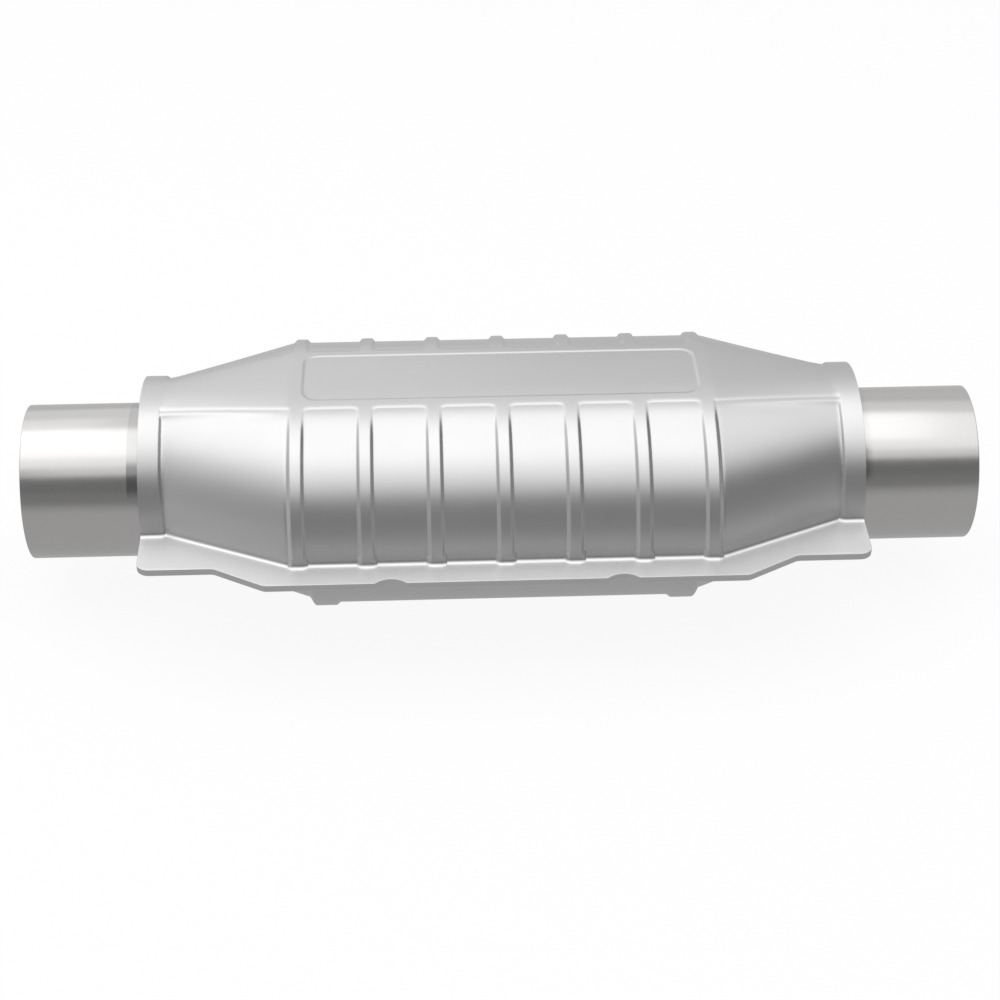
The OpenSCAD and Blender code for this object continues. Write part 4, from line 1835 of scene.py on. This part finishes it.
@dataclass(frozen=True)
class Studio:
    """A white studio with softboxes overhead and grey cards round the part.

    Attributes:
        floor_level: Height of the floor.
        floor_half: Half the floor's width.
        floor_color: The floor's own grey.
        floor_glow: What camera, mirrored and refracted rays see on top of the lit floor.
        backdrop: Brightness of the background in those rays.
        fill: Brightness of the background as a light.
        softboxes: The lamps.
        flags: The grey cards.
    """

    floor_level: float
    floor_half: float = 4.0
    floor_color: float = 0.12
    floor_glow: float = 0.905
    backdrop: float = 0.985
    fill: float = 0.5
    softboxes: tuple[Softbox, ...] = (
        Softbox("middle_softbox", (-1.15, 0.47), (-0.39, 0.5), 0.41),
        Softbox("wide_softbox", (-0.89, 1.28), (-0.75, 0.43), 0.39, 1.02),
        Softbox("back_left_softbox", (-2.5, -0.35), (0.19, 1.18), 0.295, 1.04),
    )
    flags: tuple[Flag, ...] = (
        Flag("front_low_card", (-1.235, FRONT, FOOT), (RIGHT, FRONT, 0.3), 0.265),
        Flag("front_high_card", (-1.235, FRONT, 0.3), (RIGHT, FRONT, 0.84), 0.21),
        Flag("front_left_card", (LEFT, -1.005, FOOT), (-0.67, -1.005, 1.23), 0.585),
        Flag("far_floor_card", (-0.61, FRONT, FLOOR), (RIGHT, -0.3, FLOOR), 0.44),
        Flag("near_floor_card", (-1.0, -0.3, FLOOR), (RIGHT, 0.2, FLOOR), 0.518),
        Flag("back_floor_card", (LEFT, 0.2, FLOOR), (RIGHT, 1.58, FLOOR), 0.64),
        Flag("back_low_card", (LEFT, 1.59, FOOT), (RIGHT, 1.59, 0.35), 0.66),
        Flag("right_low_card", (RIGHT, FRONT, FOOT), (RIGHT, BACK, 0.45), 0.57),
        Flag("right_high_card", (RIGHT, FRONT, 0.45), (RIGHT, BACK, 1.1), 0.14),
        Flag("right_top_card", (1.15, -1.5, 1.1), (3.0, 2.5, 1.1), 0.133),
        Flag("back_right_card", (0.06, BACK, FOOT), (RIGHT, BACK, 1.39), 0.73),
        Flag("left_card", (LEFT, FRONT, FOOT), (LEFT, 1.0, 2.8), 0.6),
    )

    def build(self) -> None:
        """Make the floor, the background, the lamps and the cards."""
        self._floor()
        self._background()
        for piece in self.softboxes + self.flags:
            piece.build()
        bpy.context.scene.view_settings.view_transform = "Standard"

    @staticmethod
    def _seen(graph: Graph) -> Sock:
        """Tell the rays that see the studio from those that it lights.

        Args:
            graph: The graph that asks.

        Returns:
            1 for camera, mirrored and refracted rays and 0 for the rest.
        """
        kinds = ("Is Camera Ray", "Is Glossy Ray", "Is Transmission Ray")
        direct, mirrored, refracted = (graph.node("ShaderNodeLightPath", output=kind) for kind in kinds)
        return (direct + mirrored + refracted).rise(0.0, 1.0)

    def _floor(self) -> None:
        """Make the pale floor, which keeps the part's shadow."""
        material = bpy.data.materials.new("floor_paper")
        graph = Graph(material)
        paper = graph.node("ShaderNodeBsdfDiffuse", None, {"Color": (*grey(self.floor_color), 1.0)})
        glow = graph.node("ShaderNodeEmission", None, {"Strength": self._seen(graph) * self.floor_glow})
        both = graph.node("ShaderNodeAddShader", None, {0: paper, 1: glow})
        graph.node("ShaderNodeOutputMaterial", None, {"Surface": both})
        h, z = self.floor_half, self.floor_level
        flat_stage("floor", np.array([(-h, -h, z), (h, -h, z), (h, h, z), (-h, h, z)]), material)

    def _background(self) -> None:
        """Make the plain white background."""
        world = bpy.data.worlds.new("white_studio")
        graph = Graph(world)
        strength = self.fill + self._seen(graph) * (self.backdrop - self.fill)
        glow = graph.node("ShaderNodeBackground", None, {"Color": WHITE, "Strength": strength})
        graph.node("ShaderNodeOutputWorld", None, {"Surface": glow})
        bpy.context.scene.world = world


def main() -> None:
    """Build and dress every piece, then set the camera and the studio."""
    logging.basicConfig(level=logging.INFO, format="%(name)s: %(message)s")
    PhotoCamera().build()
    UpperShield("upper_heat_shield", "upper_shield", 1).build()
    LowerShield("lower_heat_shield", "lower_shield", -1).build()
    for end, side in (("inlet", -1), ("outlet", 1)):
        PipeEnd(end, side).build()
    for node in ("front_substrate", "rear_substrate"):
        Honeycomb(node).build()
    dress_inner_pieces()
    Studio(floor_level=float(CAD_BOX[0][2])).build()


if __name__ == "__main__":
    main()
